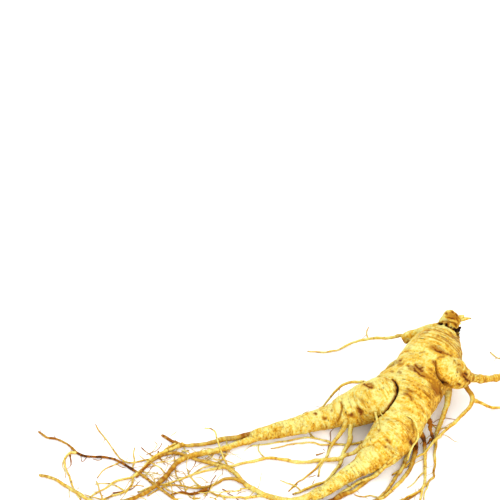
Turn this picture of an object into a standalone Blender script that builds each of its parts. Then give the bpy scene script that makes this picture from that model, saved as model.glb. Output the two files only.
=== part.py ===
"""A fresh ginseng root lying on its side: a stout body with a ringed neck, two tapering legs, a bulbous
arm, and long side roots that run out along the surface it lies on.

Units are metres, +Z is up and the root lies on the plane z = 0. The origin is the resting spot under the
body. +X points from the legs towards the arm and +Y from the legs towards the neck. The whole root grew
as one piece, so it is one closed solid. The routes below are in millimetres.
"""

import math
import random

import bmesh
import bpy
from mathutils import Vector
from mathutils.kdtree import KDTree

NAME = "ginseng_root"
MM = 0.001

# How the fused flesh is rounded off and thinned out
FLESH_VOXEL = 1.1 * MM
FLESH_SMOOTHING = 5
FLESH_TRIANGLES = 4200
FLESH_RINGS = 8
FOLD_SPACING = 0.5

# Side roots: the spacing of rings along a root, its clearance over the surface, how it tapers and drops
RING_SPACING = 7.0
FLOOR_CLEARANCE = 0.25
TAPER_POWER = 0.55
DROP_POWER = 1.6
THICK_ROOT = 1.6

# Fine rootlets that branch off the side roots by rule
ROOTLET_SEED = 11
ROOTLET_SPACING = 55.0
ROOTLET_LENGTH = (12.0, 24.0)
ROOTLET_RADIUS = 0.5
ROOTLET_ANGLE = (35, 75)

SKIN_COLOUR = (0.78, 0.58, 0.27, 1.0)
SKIN_ROUGHNESS = 0.6

# Thick limbs: (x, y, z, radius) along each one's middle, in millimetres
BODY = [
    (32, 58, 22.5, 6.0),
    (29, 52, 20.5, 11.8),
    (24.6, 44.8, 19.3, 16.6),
    (19.8, 35.2, 18.8, 19.5),
    (11.4, 21.4, 18.2, 19.2),
    (4, 7, 16.8, 18.0),
    (-2.4, -7, 16.0, 16.8),
    (-6.2, -18, 15.0, 14.8),
]
RIGHT_LEG = [
    (-2.4, -7, 16.0, 16.4),
    (-6.2, -18, 15.0, 14.8),
    (-14.5, -29.5, 13.2, 13.5),
    (-22.3, -37, 10.7, 11.2),
    (-28, -41, 8.2, 7.9),
    (-33, -44.4, 6.8, 6.0),
    (-38, -47.6, 5.8, 5.1),
    (-44, -51.6, 5.2, 4.6),
    (-51.5, -57.3, 4.4, 3.9),
    (-57.7, -61.5, 3.8, 3.3),
    (-63, -63.9, 3.4, 2.9),
]
LEFT_LEG = [
    (-11.5, 4.2, 23.5, 7.0),
    (-13.6, 2.6, 24.3, 9.8),
    (-17, 0.4, 24.2, 11.4),
    (-21.5, -1.0, 20.6, 12.8),
    (-26, -0.2, 15.8, 13.2),
    (-35, -2, 11.5, 12.0),
    (-42, -3, 9.6, 10.4),
    (-47, -4, 7.8, 8.2),
    (-58, -7, 6.4, 6.9),
    (-69, -10, 5.6, 6.1),
    (-84, -14, 4.8, 5.2),
    (-96, -17, 4.3, 4.6),
    (-102, -18, 4.0, 3.6),
]
HIP = [(8, 17, 17.0, 16.0), (-3, 13, 16.5, 14.2), (-14, 8, 15.5, 12.4)]
ARM = [
    (16, 20, 20.0, 9.0),
    (24, 19, 24.0, 9.8),
    (31, 18, 23.5, 10.0),
    (36, 17, 21.5, 8.4),
    (41, 18, 20.0, 5.0),
]
NECK = [
    (31, 55, 21.0, 7.0),
    (32, 60, 24.5, 5.8),
    (33, 63, 27.0, 5.4),
    (33, 65, 28.5, 3.6),
]
SHOULDER_ROOT = [
    (27, 60, 22.8, 2.4),
    (18, 58.8, 22.2, 2.6),
    (11, 56, 21.2, 2.6),
    (6, 54, 20.5, 3.0),
    (3.2, 51.5, 20.0, 3.6),
]
STEM_STUB = [(33, 62, 26.5, 2.6), (40, 61.8, 28.2, 1.9), (47, 61, 29.2, 1.0)]
BUD = [(32.5, 61, 28.0, 5.0), (32, 62, 31.5, 4.4), (31.5, 62, 34.0, 3.0)]
LIMBS = [BODY, RIGHT_LEG, LEFT_LEG, HIP, ARM, NECK, SHOULDER_ROOT, STEM_STUB, BUD]

# Folds pressed into the skin: width on either side, depth, and the route on the skin, in millimetres
FOLDS = {
    "thigh": (2.6, 3.4, [
        (-9.6, 8, 29.5), (-8.3, 4, 31), (-7.6, 0, 31.6), (-8.2, -4, 31.5), (-10.3, -8.7, 30.4),
        (-13.6, -13, 28), (-17.3, -15.6, 24.3), (-20, -15.5, 19)]),
    "arm": (2.4, 2.8, [
        (25, 21, 34.6), (22, 18.4, 34.6), (20, 14, 33.6), (19.5, 10.4, 32), (20.7, 7.2, 29), (24.5, 7, 23)]),
}

# Side roots: height of the start, share of the length after which it lies flat, radius at the start and
# at the tip, then the route seen from above, in millimetres
SIDE_ROOTS = {
    "leg_tail": (4.0, 0.25, 2.6, 0.8, [
        (-58, -60), (-68, -65), (-77, -66), (-89, -63), (-97, -58), (-104, -53), (-109, -46),
        (-115, -41), (-123, -38), (-132, -35), (-141, -31), (-150, -29), (-159, -32), (-166, -39),
        (-172, -48)]),
    "fork_back": (3.8, 0.3, 3.0, 0.9, [
        (-98, -18), (-107, -18), (-116, -19), (-129, -22), (-138, -23), (-146, -22), (-152, -19),
        (-158, -15)]),
    "fork_front": (3.8, 0.3, 2.9, 0.9, [
        (-98, -18), (-108, -23), (-119, -27), (-129, -29), (-138, -32), (-144, -35), (-149, -40),
        (-153, -46), (-157, -51), (-164, -58), (-172, -63), (-182, -67), (-191, -68), (-201, -64),
        (-207, -60), (-215, -54), (-223, -49), (-233, -46)]),
    "knob_root": (20.0, 0.62, 1.7, 0.45, [
        (5, 53), (0, 57), (-8, 60), (-19, 64), (-30, 63), (-38, 59), (-45, 57), (-52, 56), (-62, 57)]),
    "arm_root": (20.0, 0.55, 4.2, 0.5, [
        (37, 19), (45, 21), (53, 23), (61, 27), (69, 33), (78, 40), (88, 42), (99, 39), (107, 30),
        (113, 19)]),
    "arm_curl": (4.0, 0.5, 1.0, 0.4, [
        (92, 41), (83, 44), (75, 46), (69, 50), (66, 51), (62, 56)]),
    "arm_fork": (19.0, 1.0, 1.8, 1.0, [
        (34, 15), (38, 13), (41, 9), (43, 5), (42, 1), (39, -3), (34, -7), (28, -13), (21, -18),
        (15, -24), (10, -30), (1, -36), (-5, -41), (-12, -46)]),
    "arm_fork_right": (13.5, 0.5, 1.6, 0.5, [
        (43, 4), (48, 6), (53, 7), (57, 7), (61, 8), (70, 8), (79, 6)]),
    "under_arm": (13.0, 0.35, 3.0, 0.5, [
        (25, 19), (29, 15), (28, 9), (27, 4), (24, -2), (20, -10), (18, -18), (17, -26), (16, -35),
        (14, -43), (14, -47), (11, -50), (7, -55), (1, -61), (-6, -66)]),
    "thigh_inner": (8.0, 0.35, 2.2, 0.5, [
        (5, -15), (9, -20), (10, -25), (10, -33), (9, -43), (8, -50), (6, -57), (4, -64), (-1, -72),
        (-7, -78)]),
    "thigh_inner_twig": (1.0, 0.1, 0.8, 0.45, [
        (5, -58), (-1, -61), (-6, -64), (-13, -67), (-20, -73)]),
    "thigh_middle": (7.0, 0.35, 2.4, 0.5, [
        (0, -20), (0, -27), (-2, -34), (-5, -41), (-10, -48), (-15, -56), (-21, -63), (-29, -69),
        (-38, -73), (-47, -76)]),
    "thigh_outer": (7.0, 0.3, 2.4, 0.5, [
        (3, -19), (4, -28), (3, -34), (0, -41), (-5, -49), (-10, -54), (-15, -59), (-21, -64),
        (-31, -67), (-41, -69), (-52, -72)]),
    "leg_side": (12.0, 1.0, 1.6, 1.0, [
        (-9, -39), (-12, -41), (-16, -43), (-18, -45), (-23, -46), (-28, -49), (-33, -52), (-38, -56)]),
    "long_dark": (6.0, 0.2, 2.6, 0.7, [
        (-6, -33), (-14, -39), (-21, -44), (-28, -48), (-33, -52), (-38, -56), (-43, -59), (-50, -63),
        (-63, -70), (-79, -75), (-98, -78), (-116, -77), (-133, -72), (-146, -65), (-154, -58),
        (-162, -51), (-168, -46), (-175, -41), (-183, -36), (-192, -32), (-202, -32), (-211, -28),
        (-218, -21), (-225, -17), (-231, -16), (-237, -12)]),
    "shank_front": (11.0, 0.5, 2.2, 0.5, [
        (-37, -4), (-40, -8), (-44, -12), (-47, -17), (-49, -24), (-52, -31), (-55, -36), (-57, -40),
        (-58, -47)]),
    "shank_twig": (2.0, 0.3, 1.0, 0.4, [
        (-54, -34), (-59, -40), (-64, -46), (-71, -51), (-77, -58)]),
    "shank_back": (11.0, 0.5, 2.2, 0.8, [
        (-37, -4), (-36, -11), (-37, -17), (-38, -23), (-41, -30), (-44, -37), (-48, -44), (-53, -50),
        (-61, -54), (-69, -58), (-75, -60)]),
    "long_left": (10.0, 0.16, 1.8, 0.5, [
        (-20, -27), (-28, -27), (-34, -28), (-40, -31), (-48, -35), (-55, -35), (-68, -36), (-79, -34),
        (-91, -33), (-101, -36), (-113, -39), (-123, -41), (-133, -44), (-140, -47), (-146, -50),
        (-154, -53), (-163, -55), (-171, -59)]),
    "between_legs": (7.0, 0.18, 1.0, 0.4, [
        (-22, -22), (-32, -21), (-39, -22), (-46, -22), (-52, -19), (-59, -17), (-66, -16), (-77, -19),
        (-89, -21), (-101, -23)]),
    "between_twig": (1.0, 0.1, 0.7, 0.4, [
        (-45, -22), (-55, -22), (-62, -20), (-70, -21), (-78, -23), (-88, -25)]),
    "low_middle": (2.4, 0.2, 1.3, 0.45, [
        (-104, -53), (-109, -50), (-115, -49), (-121, -52), (-127, -55), (-135, -56), (-143, -54),
        (-151, -53), (-157, -56), (-164, -62)]),
    "low_left": (2.8, 0.2, 1.2, 0.45, [
        (-76, -66), (-85, -64), (-95, -62), (-107, -63), (-119, -61), (-127, -57), (-134, -52),
        (-138, -47), (-140, -41)]),
    "pale_long": (2.2, 0.3, 1.5, 0.45, [
        (-143, -23), (-151, -26), (-159, -30), (-165, -36), (-169, -41), (-173, -47), (-174, -53),
        (-178, -58), (-187, -62), (-196, -67), (-204, -74)]),
    "pale_twig": (1.6, 0.3, 1.0, 0.45, [
        (-171, -45), (-175, -48), (-183, -50), (-191, -56), (-197, -60), (-202, -66), (-207, -73)]),
    "long_fine": (1.9, 0.3, 0.8, 0.4, [
        (-148, -22), (-154, -26), (-158, -31), (-166, -34), (-175, -36), (-180, -35), (-185, -30),
        (-192, -19), (-198, -11), (-201, -5)]),
    "loop": (1.2, 0.3, 1.0, 0.5, [
        (-211, -29), (-215, -29), (-218, -34), (-216, -42), (-213, -49), (-209, -58), (-205, -65)]),
    "behind_thigh": (20.0, 1.0, 0.9, 0.45, [
        (-24, 11), (-31, 15), (-36, 16), (-40, 16), (-45, 15), (-49, 13), (-53, 8)]),
    "behind_body": (14.0, 0.45, 1.8, 0.5, [
        (8, 38), (2, 41), (-6, 40), (-16, 32), (-30, 23), (-42, 15), (-54, 7), (-66, 3)]),
    "dark_clump": (1.6, 0.3, 1.3, 0.6, [
        (-127, -57), (-134, -59), (-139, -60), (-145, -59), (-151, -62)]),
}


def clear_scene():
    for thing in list(bpy.data.objects):
        bpy.data.objects.remove(thing)


def curve_value(a, b, c, d, t):
    """The value a share t of the way from b to c on a smooth curve through all four."""
    straight = 2 * b + (c - a) * t
    return 0.5 * (straight + (2 * a - 5 * b + 4 * c - d) * t ** 2 + (3 * b - a - 3 * c + d) * t ** 3)


def smooth_route(points, spacing):
    """Points about `spacing` apart on a smooth curve through the given ones. Any number of coordinates."""
    ends = [points[0], *points, points[-1]]
    route = []
    for before, start, end, after in zip(ends, ends[1:], ends[2:], ends[3:]):
        steps = max(1, round(math.dist(start[:3], end[:3]) / spacing))
        for step in range(steps):
            values = zip(before, start, end, after)
            route.append(tuple(curve_value(*four, step / steps) for four in values))
    route.append(tuple(points[-1]))
    return route


def shares_along(points):
    """How far along the route each point is, from 0 to 1."""
    lengths = [0.0]
    for start, end in zip(points, points[1:]):
        lengths.append(lengths[-1] + math.dist(start, end))
    return [length / lengths[-1] for length in lengths]


def side_root_route(start_height, landing, start_radius, tip_radius, plan):
    """(x, y, z, radius) along a side root that drops from its start height and then lies on the surface."""
    route = []
    for (x, y), share in zip(plan, shares_along(plan)):
        radius = start_radius + (tip_radius - start_radius) * share ** TAPER_POWER
        hanging = max(0.0, 1.0 - share / landing) ** DROP_POWER
        height = radius + FLOOR_CLEARANCE + (start_height - start_radius) * hanging
        route.append((x, y, height, radius))
    return route


def fine_rootlets(parent, draw):
    """Short routes that leave the lying part of a side root to either side."""
    plan = [point[:2] for point in parent]
    length = sum(math.dist(a, b) for a, b in zip(plan, plan[1:]))
    shares = shares_along(plan)
    found = []
    for _ in range(int(length // ROOTLET_SPACING)):
        share = draw.uniform(0.35, 0.95)
        index = max(i for i, s in enumerate(shares[:-1]) if s <= share)
        x, y, z, _ = parent[index]
        heading = math.atan2(parent[index + 1][1] - y, parent[index + 1][0] - x)
        heading += draw.choice((-1, 1)) * math.radians(draw.uniform(*ROOTLET_ANGLE))
        reach = draw.uniform(*ROOTLET_LENGTH)
        route = [(x, y, z, ROOTLET_RADIUS)]
        for step in range(1, 4):
            heading += math.radians(draw.uniform(-30, 30))
            x += reach / 3 * math.cos(heading)
            y += reach / 3 * math.sin(heading)
            route.append((x, y, ROOTLET_RADIUS + FLOOR_CLEARANCE, ROOTLET_RADIUS * (1 - step / 12)))
        found.append(route)
    return found


def tube_mesh(name, route, rings):
    """A closed tube along (x, y, z, radius) points in millimetres, with 4 + 2 * rings sides."""
    curve = bpy.data.curves.new(name, "CURVE")
    curve.dimensions = "3D"
    curve.bevel_depth = MM
    curve.bevel_resolution = rings
    curve.use_fill_caps = True
    spline = curve.splines.new("POLY")
    spline.points.add(len(route) - 1)
    for point, (x, y, z, radius) in zip(spline.points, route):
        point.co = (x * MM, y * MM, z * MM, 1.0)
        point.radius = radius
    guide = bpy.data.objects.new(name, curve)
    bpy.context.scene.collection.objects.link(guide)
    bpy.context.view_layer.update()
    mesh = bpy.data.meshes.new_from_object(guide.evaluated_get(bpy.context.evaluated_depsgraph_get()))
    bpy.data.objects.remove(guide)
    work = bmesh.new()
    work.from_mesh(mesh)
    bmesh.ops.remove_doubles(work, verts=work.verts, dist=0.01 * MM)
    bmesh.ops.recalc_face_normals(work, faces=work.faces)
    work.to_mesh(mesh)
    work.free()
    return mesh


def as_object(name, mesh, collection):
    thing = bpy.data.objects.new(name, mesh)
    collection.objects.link(thing)
    return thing


def apply_modifiers(thing):
    bpy.context.view_layer.update()
    graph = bpy.context.evaluated_depsgraph_get()
    thing.data = bpy.data.meshes.new_from_object(thing.evaluated_get(graph))
    thing.modifiers.clear()


def press_folds(mesh):
    """Push the skin in along each fold."""
    for width, depth, route in FOLDS.values():
        line = smooth_route(route, FOLD_SPACING)
        near = KDTree(len(line))
        for index, point in enumerate(line):
            near.insert(Vector(point) * MM, index)
        near.balance()
        moves = {}
        for vertex in mesh.vertices:
            share = near.find(vertex.co)[2] / (width * MM)
            if share < 1:
                moves[vertex.index] = vertex.normal * depth * MM * (1 - share ** 2) ** 2
        for index, move in moves.items():
            mesh.vertices[index].co -= move


def flesh(collection):
    """The body, legs, arm and neck melted into one skin and cut flat where the root rests."""
    melted = bmesh.new()
    for number, limb in enumerate(LIMBS):
        melted.from_mesh(tube_mesh(f"limb_{number}", smooth_route(limb, 3.0), FLESH_RINGS))
    mesh = bpy.data.meshes.new(NAME)
    melted.to_mesh(mesh)
    melted.free()
    root = as_object(NAME, mesh, collection)
    remesh = root.modifiers.new("melt", "REMESH")
    remesh.mode = "VOXEL"
    remesh.voxel_size = FLESH_VOXEL
    apply_modifiers(root)
    press_folds(root.data)
    smooth = root.modifiers.new("soften", "SMOOTH")
    smooth.factor = 0.5
    smooth.iterations = FLESH_SMOOTHING
    apply_modifiers(root)
    triangles = sum(len(face.vertices) - 2 for face in root.data.polygons)
    thin = root.modifiers.new("thin_out", "DECIMATE")
    thin.ratio = FLESH_TRIANGLES / triangles
    apply_modifiers(root)
    cut = bmesh.new()
    cut.from_mesh(root.data)
    everything = cut.verts[:] + cut.edges[:] + cut.faces[:]
    section = bmesh.ops.bisect_plane(
        cut, geom=everything, plane_co=(0, 0, 0), plane_no=(0, 0, -1), clear_outer=True)
    edges = [piece for piece in section["geom_cut"] if isinstance(piece, bmesh.types.BMEdge)]
    bmesh.ops.contextual_create(cut, geom=edges)
    bmesh.ops.holes_fill(cut, edges=[edge for edge in cut.edges if edge.is_boundary])
    bmesh.ops.recalc_face_normals(cut, faces=cut.faces)
    cut.to_mesh(root.data)
    cut.free()
    return root


def side_roots(collection):
    """Every side root and its fine rootlets as closed tubes of few sides."""
    draw = random.Random(ROOTLET_SEED)
    for name, (height, landing, start_radius, tip_radius, plan) in SIDE_ROOTS.items():
        route = side_root_route(height, landing, start_radius, tip_radius, plan)
        rings = 1 if start_radius >= THICK_ROOT else 0
        as_object(name, tube_mesh(name, smooth_route(route, RING_SPACING), rings), collection)
        for number, rootlet in enumerate(fine_rootlets(route, draw)):
            as_object(f"{name}_{number}", tube_mesh(name, rootlet, 0), collection)


def skin_material():
    material = bpy.data.materials.new("ginseng_skin")
    material.use_nodes = True
    shader = material.node_tree.nodes["Principled BSDF"]
    shader.inputs["Base Color"].default_value = SKIN_COLOUR
    shader.inputs["Roughness"].default_value = SKIN_ROUGHNESS
    shader.inputs["Metallic"].default_value = 0.0
    return material


def main():
    clear_scene()
    shown = bpy.data.collections.new(NAME)
    joined = bpy.data.collections.new("side_roots")
    bpy.context.scene.collection.children.link(shown)
    bpy.context.scene.collection.children.link(joined)
    root = flesh(shown)
    side_roots(joined)
    union = root.modifiers.new("grow_together", "BOOLEAN")
    union.operation = "UNION"
    union.operand_type = "COLLECTION"
    union.collection = joined
    union.solver = "EXACT"
    apply_modifiers(root)
    for thing in list(joined.objects):
        bpy.data.objects.remove(thing)
    bpy.data.collections.remove(joined)
    root.data.materials.clear()
    root.data.materials.append(skin_material())
    root.data.shade_smooth()
    root.data.set_sharp_from_angle(angle=math.radians(50))


main()
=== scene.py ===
"""The looks of the ginseng root: its wrinkled skin, side roots, fine hairs, crown and clinging soil.

The routes repeat those of the solid, in millimetres. Each operator models one group of like pieces.
"""

import itertools
import math
import random

import bpy
import numpy as np
from bpy.props import FloatProperty, FloatVectorProperty, IntProperty, PointerProperty
from mathutils import Matrix, Vector
from mathutils.kdtree import KDTree


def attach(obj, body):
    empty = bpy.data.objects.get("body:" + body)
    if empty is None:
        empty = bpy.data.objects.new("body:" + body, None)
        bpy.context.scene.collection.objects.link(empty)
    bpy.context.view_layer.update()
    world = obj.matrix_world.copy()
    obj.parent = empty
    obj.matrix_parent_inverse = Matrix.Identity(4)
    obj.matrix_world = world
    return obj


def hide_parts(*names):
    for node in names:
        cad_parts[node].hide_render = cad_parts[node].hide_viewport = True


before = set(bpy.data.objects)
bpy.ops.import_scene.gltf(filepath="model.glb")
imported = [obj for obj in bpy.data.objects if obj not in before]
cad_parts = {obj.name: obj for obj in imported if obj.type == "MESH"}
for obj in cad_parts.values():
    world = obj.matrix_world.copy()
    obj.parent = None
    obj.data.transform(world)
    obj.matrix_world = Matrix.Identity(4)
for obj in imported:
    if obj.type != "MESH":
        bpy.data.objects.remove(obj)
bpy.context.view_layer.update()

bl_info = {
    "name": "Ginseng Root",
    "version": (1, 0, 0),
    "blender": (4, 5, 0),
    "location": "View3D > Sidebar > Ginseng",
    "description": "Models the skin, side roots, hairs and soil of a fresh ginseng root",
    "category": "Add Mesh",
}

NODE = "ginseng_root"
BODY_NAME = "root"
MM = 0.001
UP = (0, 0, 1)

# Where the painted light comes from: skin that faces it is painted palest, and painted amber and umber shade
# where it faces away
PAINTED_LIGHT_SIDE = (-0.52, 0.1, 0.85)

# Spacing of the points along limbs and side roots, in millimetres
LIMB_SPACING = 2.0
STRAND_SPACING = 0.75
HAIR_SPACING = 1.0
GRAIN_SPACING = 1.5
FOLD_SPACING = 0.4

# Side roots: their clearance over the surface, how they taper and drop
FLOOR_CLEARANCE = 0.25
TAPER_POWER = 0.55
DROP_POWER = 1.6

# Fine rootlets that branch off the side roots by rule
ROOTLET_SEED = 11
ROOTLET_SPACING = 55.0
ROOTLET_LENGTH = (12, 24)
ROOTLET_RADIUS = 0.5
ROOTLET_ANGLE = (35, 75)

# Fine hairs placed by rule
HAIR_SEED = 23
HAIR_REACH = (3.0, 9.0)
HAIR_TURN = 0.6

# Thick limbs: (x, y, z, radius) along each one's middle, in millimetres
BODY = [
    (32, 58, 22.5, 6), (29, 52, 20.5, 11.8), (24.6, 44.8, 19.3, 16.6), (19.8, 35.2, 18.8, 19.5),
    (11.4, 21.4, 18.2, 19.2), (4, 7, 16.8, 18), (-2.4, -7, 16, 16.8), (-6.2, -18, 15, 14.8)]
RIGHT_LEG = [
    (-2.4, -7, 16, 16.4), (-6.2, -18, 15, 14.8), (-14.5, -29.5, 13.2, 13.5), (-22.3, -37, 10.7, 11.2),
    (-28, -41, 8.2, 7.9), (-33, -44.4, 6.8, 6), (-38, -47.6, 5.8, 5.1), (-44, -51.6, 5.2, 4.6),
    (-51.5, -57.3, 4.4, 3.9), (-57.7, -61.5, 3.8, 3.3), (-63, -63.9, 3.4, 2.9)]
LEFT_LEG = [
    (-11.5, 4.2, 23.5, 7), (-13.6, 2.6, 24.3, 9.8), (-17, 0.4, 24.2, 11.4), (-21.5, -1, 20.6, 12.8),
    (-26, -0.2, 15.8, 13.2), (-35, -2, 11.5, 12), (-42, -3, 9.6, 10.4), (-47, -4, 7.8, 8.2),
    (-58, -7, 6.4, 6.9), (-69, -10, 5.6, 6.1), (-84, -14, 4.8, 5.2), (-95, -17, 4.3, 4.4),
    (-99, -17.6, 4, 3.2), (-101, -18, 3.6, 1.6)]
HIP = [(8, 17, 17, 16), (-3, 13, 16.5, 14.2), (-14, 8, 15.5, 12.4)]
ARM = [(16, 20, 20, 9), (24, 19, 24, 9.8), (31, 18, 23.5, 10), (36, 17, 21.5, 8.4), (41, 18, 20, 5)]
NECK = [(31, 55, 21, 7), (32, 60, 24.5, 5.8), (33, 63, 27, 5.4), (33, 65, 28.5, 3.6)]
SHOULDER_ROOT = [
    (27, 60, 22.8, 2.4), (18, 58.8, 22.2, 2.6), (11, 56, 21.2, 2.6), (6, 54, 20.5, 3),
    (3.2, 51.5, 20, 3.6)]
STEM_STUB = [(33, 62, 26.5, 2.6), (40, 61.8, 28.2, 1.9), (47, 61, 29.2, 1)]
BUD = [(32.5, 61, 28, 5), (32, 62, 31.5, 4.4), (31.5, 62, 34, 3)]
LIMBS = [BODY, RIGHT_LEG, LEFT_LEG, HIP, ARM, NECK, SHOULDER_ROOT, STEM_STUB, BUD]

# Cracks where lobes of flesh press together: half-width and depth of the fold, darkness of the painted shade
# in the crack (along the neck, of the clinging soil), then the route on the skin with the half-width of the
# dark crack at each point
CRACKS = {
    "thigh": (2.4, 0.8, 1, [
        (-9.6, 8.3, 29, 0.1), (-8.5, 5.2, 30.5, 0.15), (-7.7, 1.8, 31.4, 0.25), (-7.7, -1.7, 31.7, 0.3),
        (-8.6, -5.1, 31.4, 0.35), (-10.3, -8.7, 30.4, 0.4), (-12.6, -11.9, 28.8, 0.5),
        (-14.9, -14, 26.9, 0.6), (-17.3, -15.5, 24.3, 0.8), (-19.4, -16, 21.2, 1), (-20.6, -14.6, 16, 1)]),
    "arm": (2.4, 1, 0.55, [
        (18.3, 18.1, 35.7, 0.15), (18.7, 15, 34.5, 0.25), (18.7, 12.4, 33.5, 0.4),
        (19.4, 10.1, 31.8, 0.45), (20.9, 8.7, 29.6, 0.5), (23, 8.3, 26.5, 0.55), (25.5, 8.6, 23.6, 0.55),
        (27.2, 8.7, 22, 0.4)]),
    "cleft": (1.6, 0.5, 0.6, [
        (20.6, 5.8, 27.6, 0.2), (20.9, 4.3, 25.4, 0.4), (20.9, 2.8, 23.7, 0.5), (22, 3.1, 20.3, 0.3)]),
    "waist": (1.6, 0.4, 0.2, [(9.6, -3.5, 30.9, 0.15), (11.3, -4.2, 29.5, 0.25), (13.2, -4.7, 27.6, 0.15)]),
    "ledge": (2, 0.7, 0.15, [
        (-42.9, -3.1, 20.5, 0.15), (-42.4, -7.2, 19.7, 0.25), (-43.5, -10.5, 16.2, 0.3),
        (-44.9, -11.7, 11, 0.2)]),
    "neck_soil": (1.4, 0.5, 0.9, [
        (24.4, 59.9, 25.6, 0.3), (26.2, 57.1, 28.2, 0.35), (29.6, 54.9, 29.7, 0.4),
        (32.4, 53.2, 29.1, 0.5), (35.5, 52.4, 27.2, 0.7), (37.2, 51.4, 25.2, 0.8), (37.4, 47, 25.7, 0.3)]),
    "collar": (1, 0.3, 0.35, [
        (26.7, 57.3, 29.9, 0.15), (29.8, 56.3, 31.2, 0.2), (33.8, 55.7, 30.3, 0.3),
        (36.7, 55.4, 27.7, 0.4)]),
    "hug": (1.6, 0.5, 0.2, [
        (-3, -21.2, 29.8, 0.15), (-1, -21.6, 28.9, 0.3), (0.6, -22.4, 27.9, 0.3), (1.4, -24.4, 26, 0.3),
        (2, -26.8, 23.5, 0.3), (2.1, -28.4, 21.2, 0.2)]),
}
# How deep a crack is for each millimetre of its half-width, and how far from it a point is still looked at
CRACK_SLOPE = 4.2
CRACK_REACH = 5.0

# Raised rims and lips: half-width, height, how much painted highlight makes them paler, and the route on the
# skin
RIDGES = {
    "rim_left": (1.2, 0.5, 0.25, [(13.8, 50.3, 30.1), (17.9, 49.9, 32.4), (21.6, 50.8, 32.2)]),
    "rim_right": (1.2, 0.5, 0.3, [
        (25.4, 51.5, 31.4), (28.7, 51.3, 30.8), (31.5, 49.4, 30.6), (33.6, 46.7, 30.1),
        (35.4, 43.9, 28.7)]),
    "thigh_lip": (2.2, 0.4, 0.14, [
        (-12, 6, 32.2), (-10.6, 2.8, 32.6), (-10, -0.6, 32.7), (-10.4, -4, 32), (-12, -7.6, 30.8),
        (-14.6, -10.8, 28.6), (-17.6, -12.6, 25.8)]),
    "ledge_lip": (1.8, 0.6, 0.15, [(-41, -3.4, 21.4), (-40.6, -7.5, 20.3), (-41.6, -10.9, 16.9)]),
    "collar_rim": (1, 0.5, 0.2, [
        (26, 58.6, 28.5), (28.1, 58.1, 30.6), (31.2, 57.4, 31.6), (34.2, 56.7, 30.9)]),
}

# Broad patches of paler or darker skin, partly its own colour and mostly painted shade and painted light:
# darker on flanks turned from the light and in the shadow of lobes, paler where the floor lights an
# underside: middle, reach, and the change of tone
TONE_AND_SHADE_PATCHES = [
    ((21, 1, 24), 8, -0.4),
    ((-21, -31, 25), 6, -0.12),
    ((-24, -39, 19), 5, -0.12),
    ((-13, -43, 15), 6, 0.18),
    ((-2, 12, 33), 9, -0.08),
    ((22, 9, 30), 5, -0.24),
    ((24, 33, 36), 8, -0.2),
    ((30, 40, 31), 8, -0.18),
    ((12, 40, 33), 7, -0.1),
    ((8, 10, 35), 6, -0.14),
    ((-1, -6, 33), 5, -0.12),
    ((33, 60, 32), 6, -0.16),
    ((36.5, 11, 28), 4, -0.06),
    ((-18, -19, 24), 6, -0.26),
    ((-22, -11, 18), 10, 0.2),
    ((14, 14, 35), 7, -0.12),
    ((0.5, 22, 33), 7, -0.22),
    ((-22.8, -27.8, 23.4), 5, -0.26),
    ((18.5, 4, 28.6), 6, -0.34),
    ((19.5, 35.5, 38), 6, -0.16),
    ((6, 0, 33), 7, -0.08),
    ((-10, -24, 27), 6, -0.12),
    ((4, 54, 20), 5, -0.16),
    ((-34, -12, 18), 5, -0.1),
    ((-92, -17, 8), 9, -0.14),
    ((-13, -35, 25), 5, -0.12),
]

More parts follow.
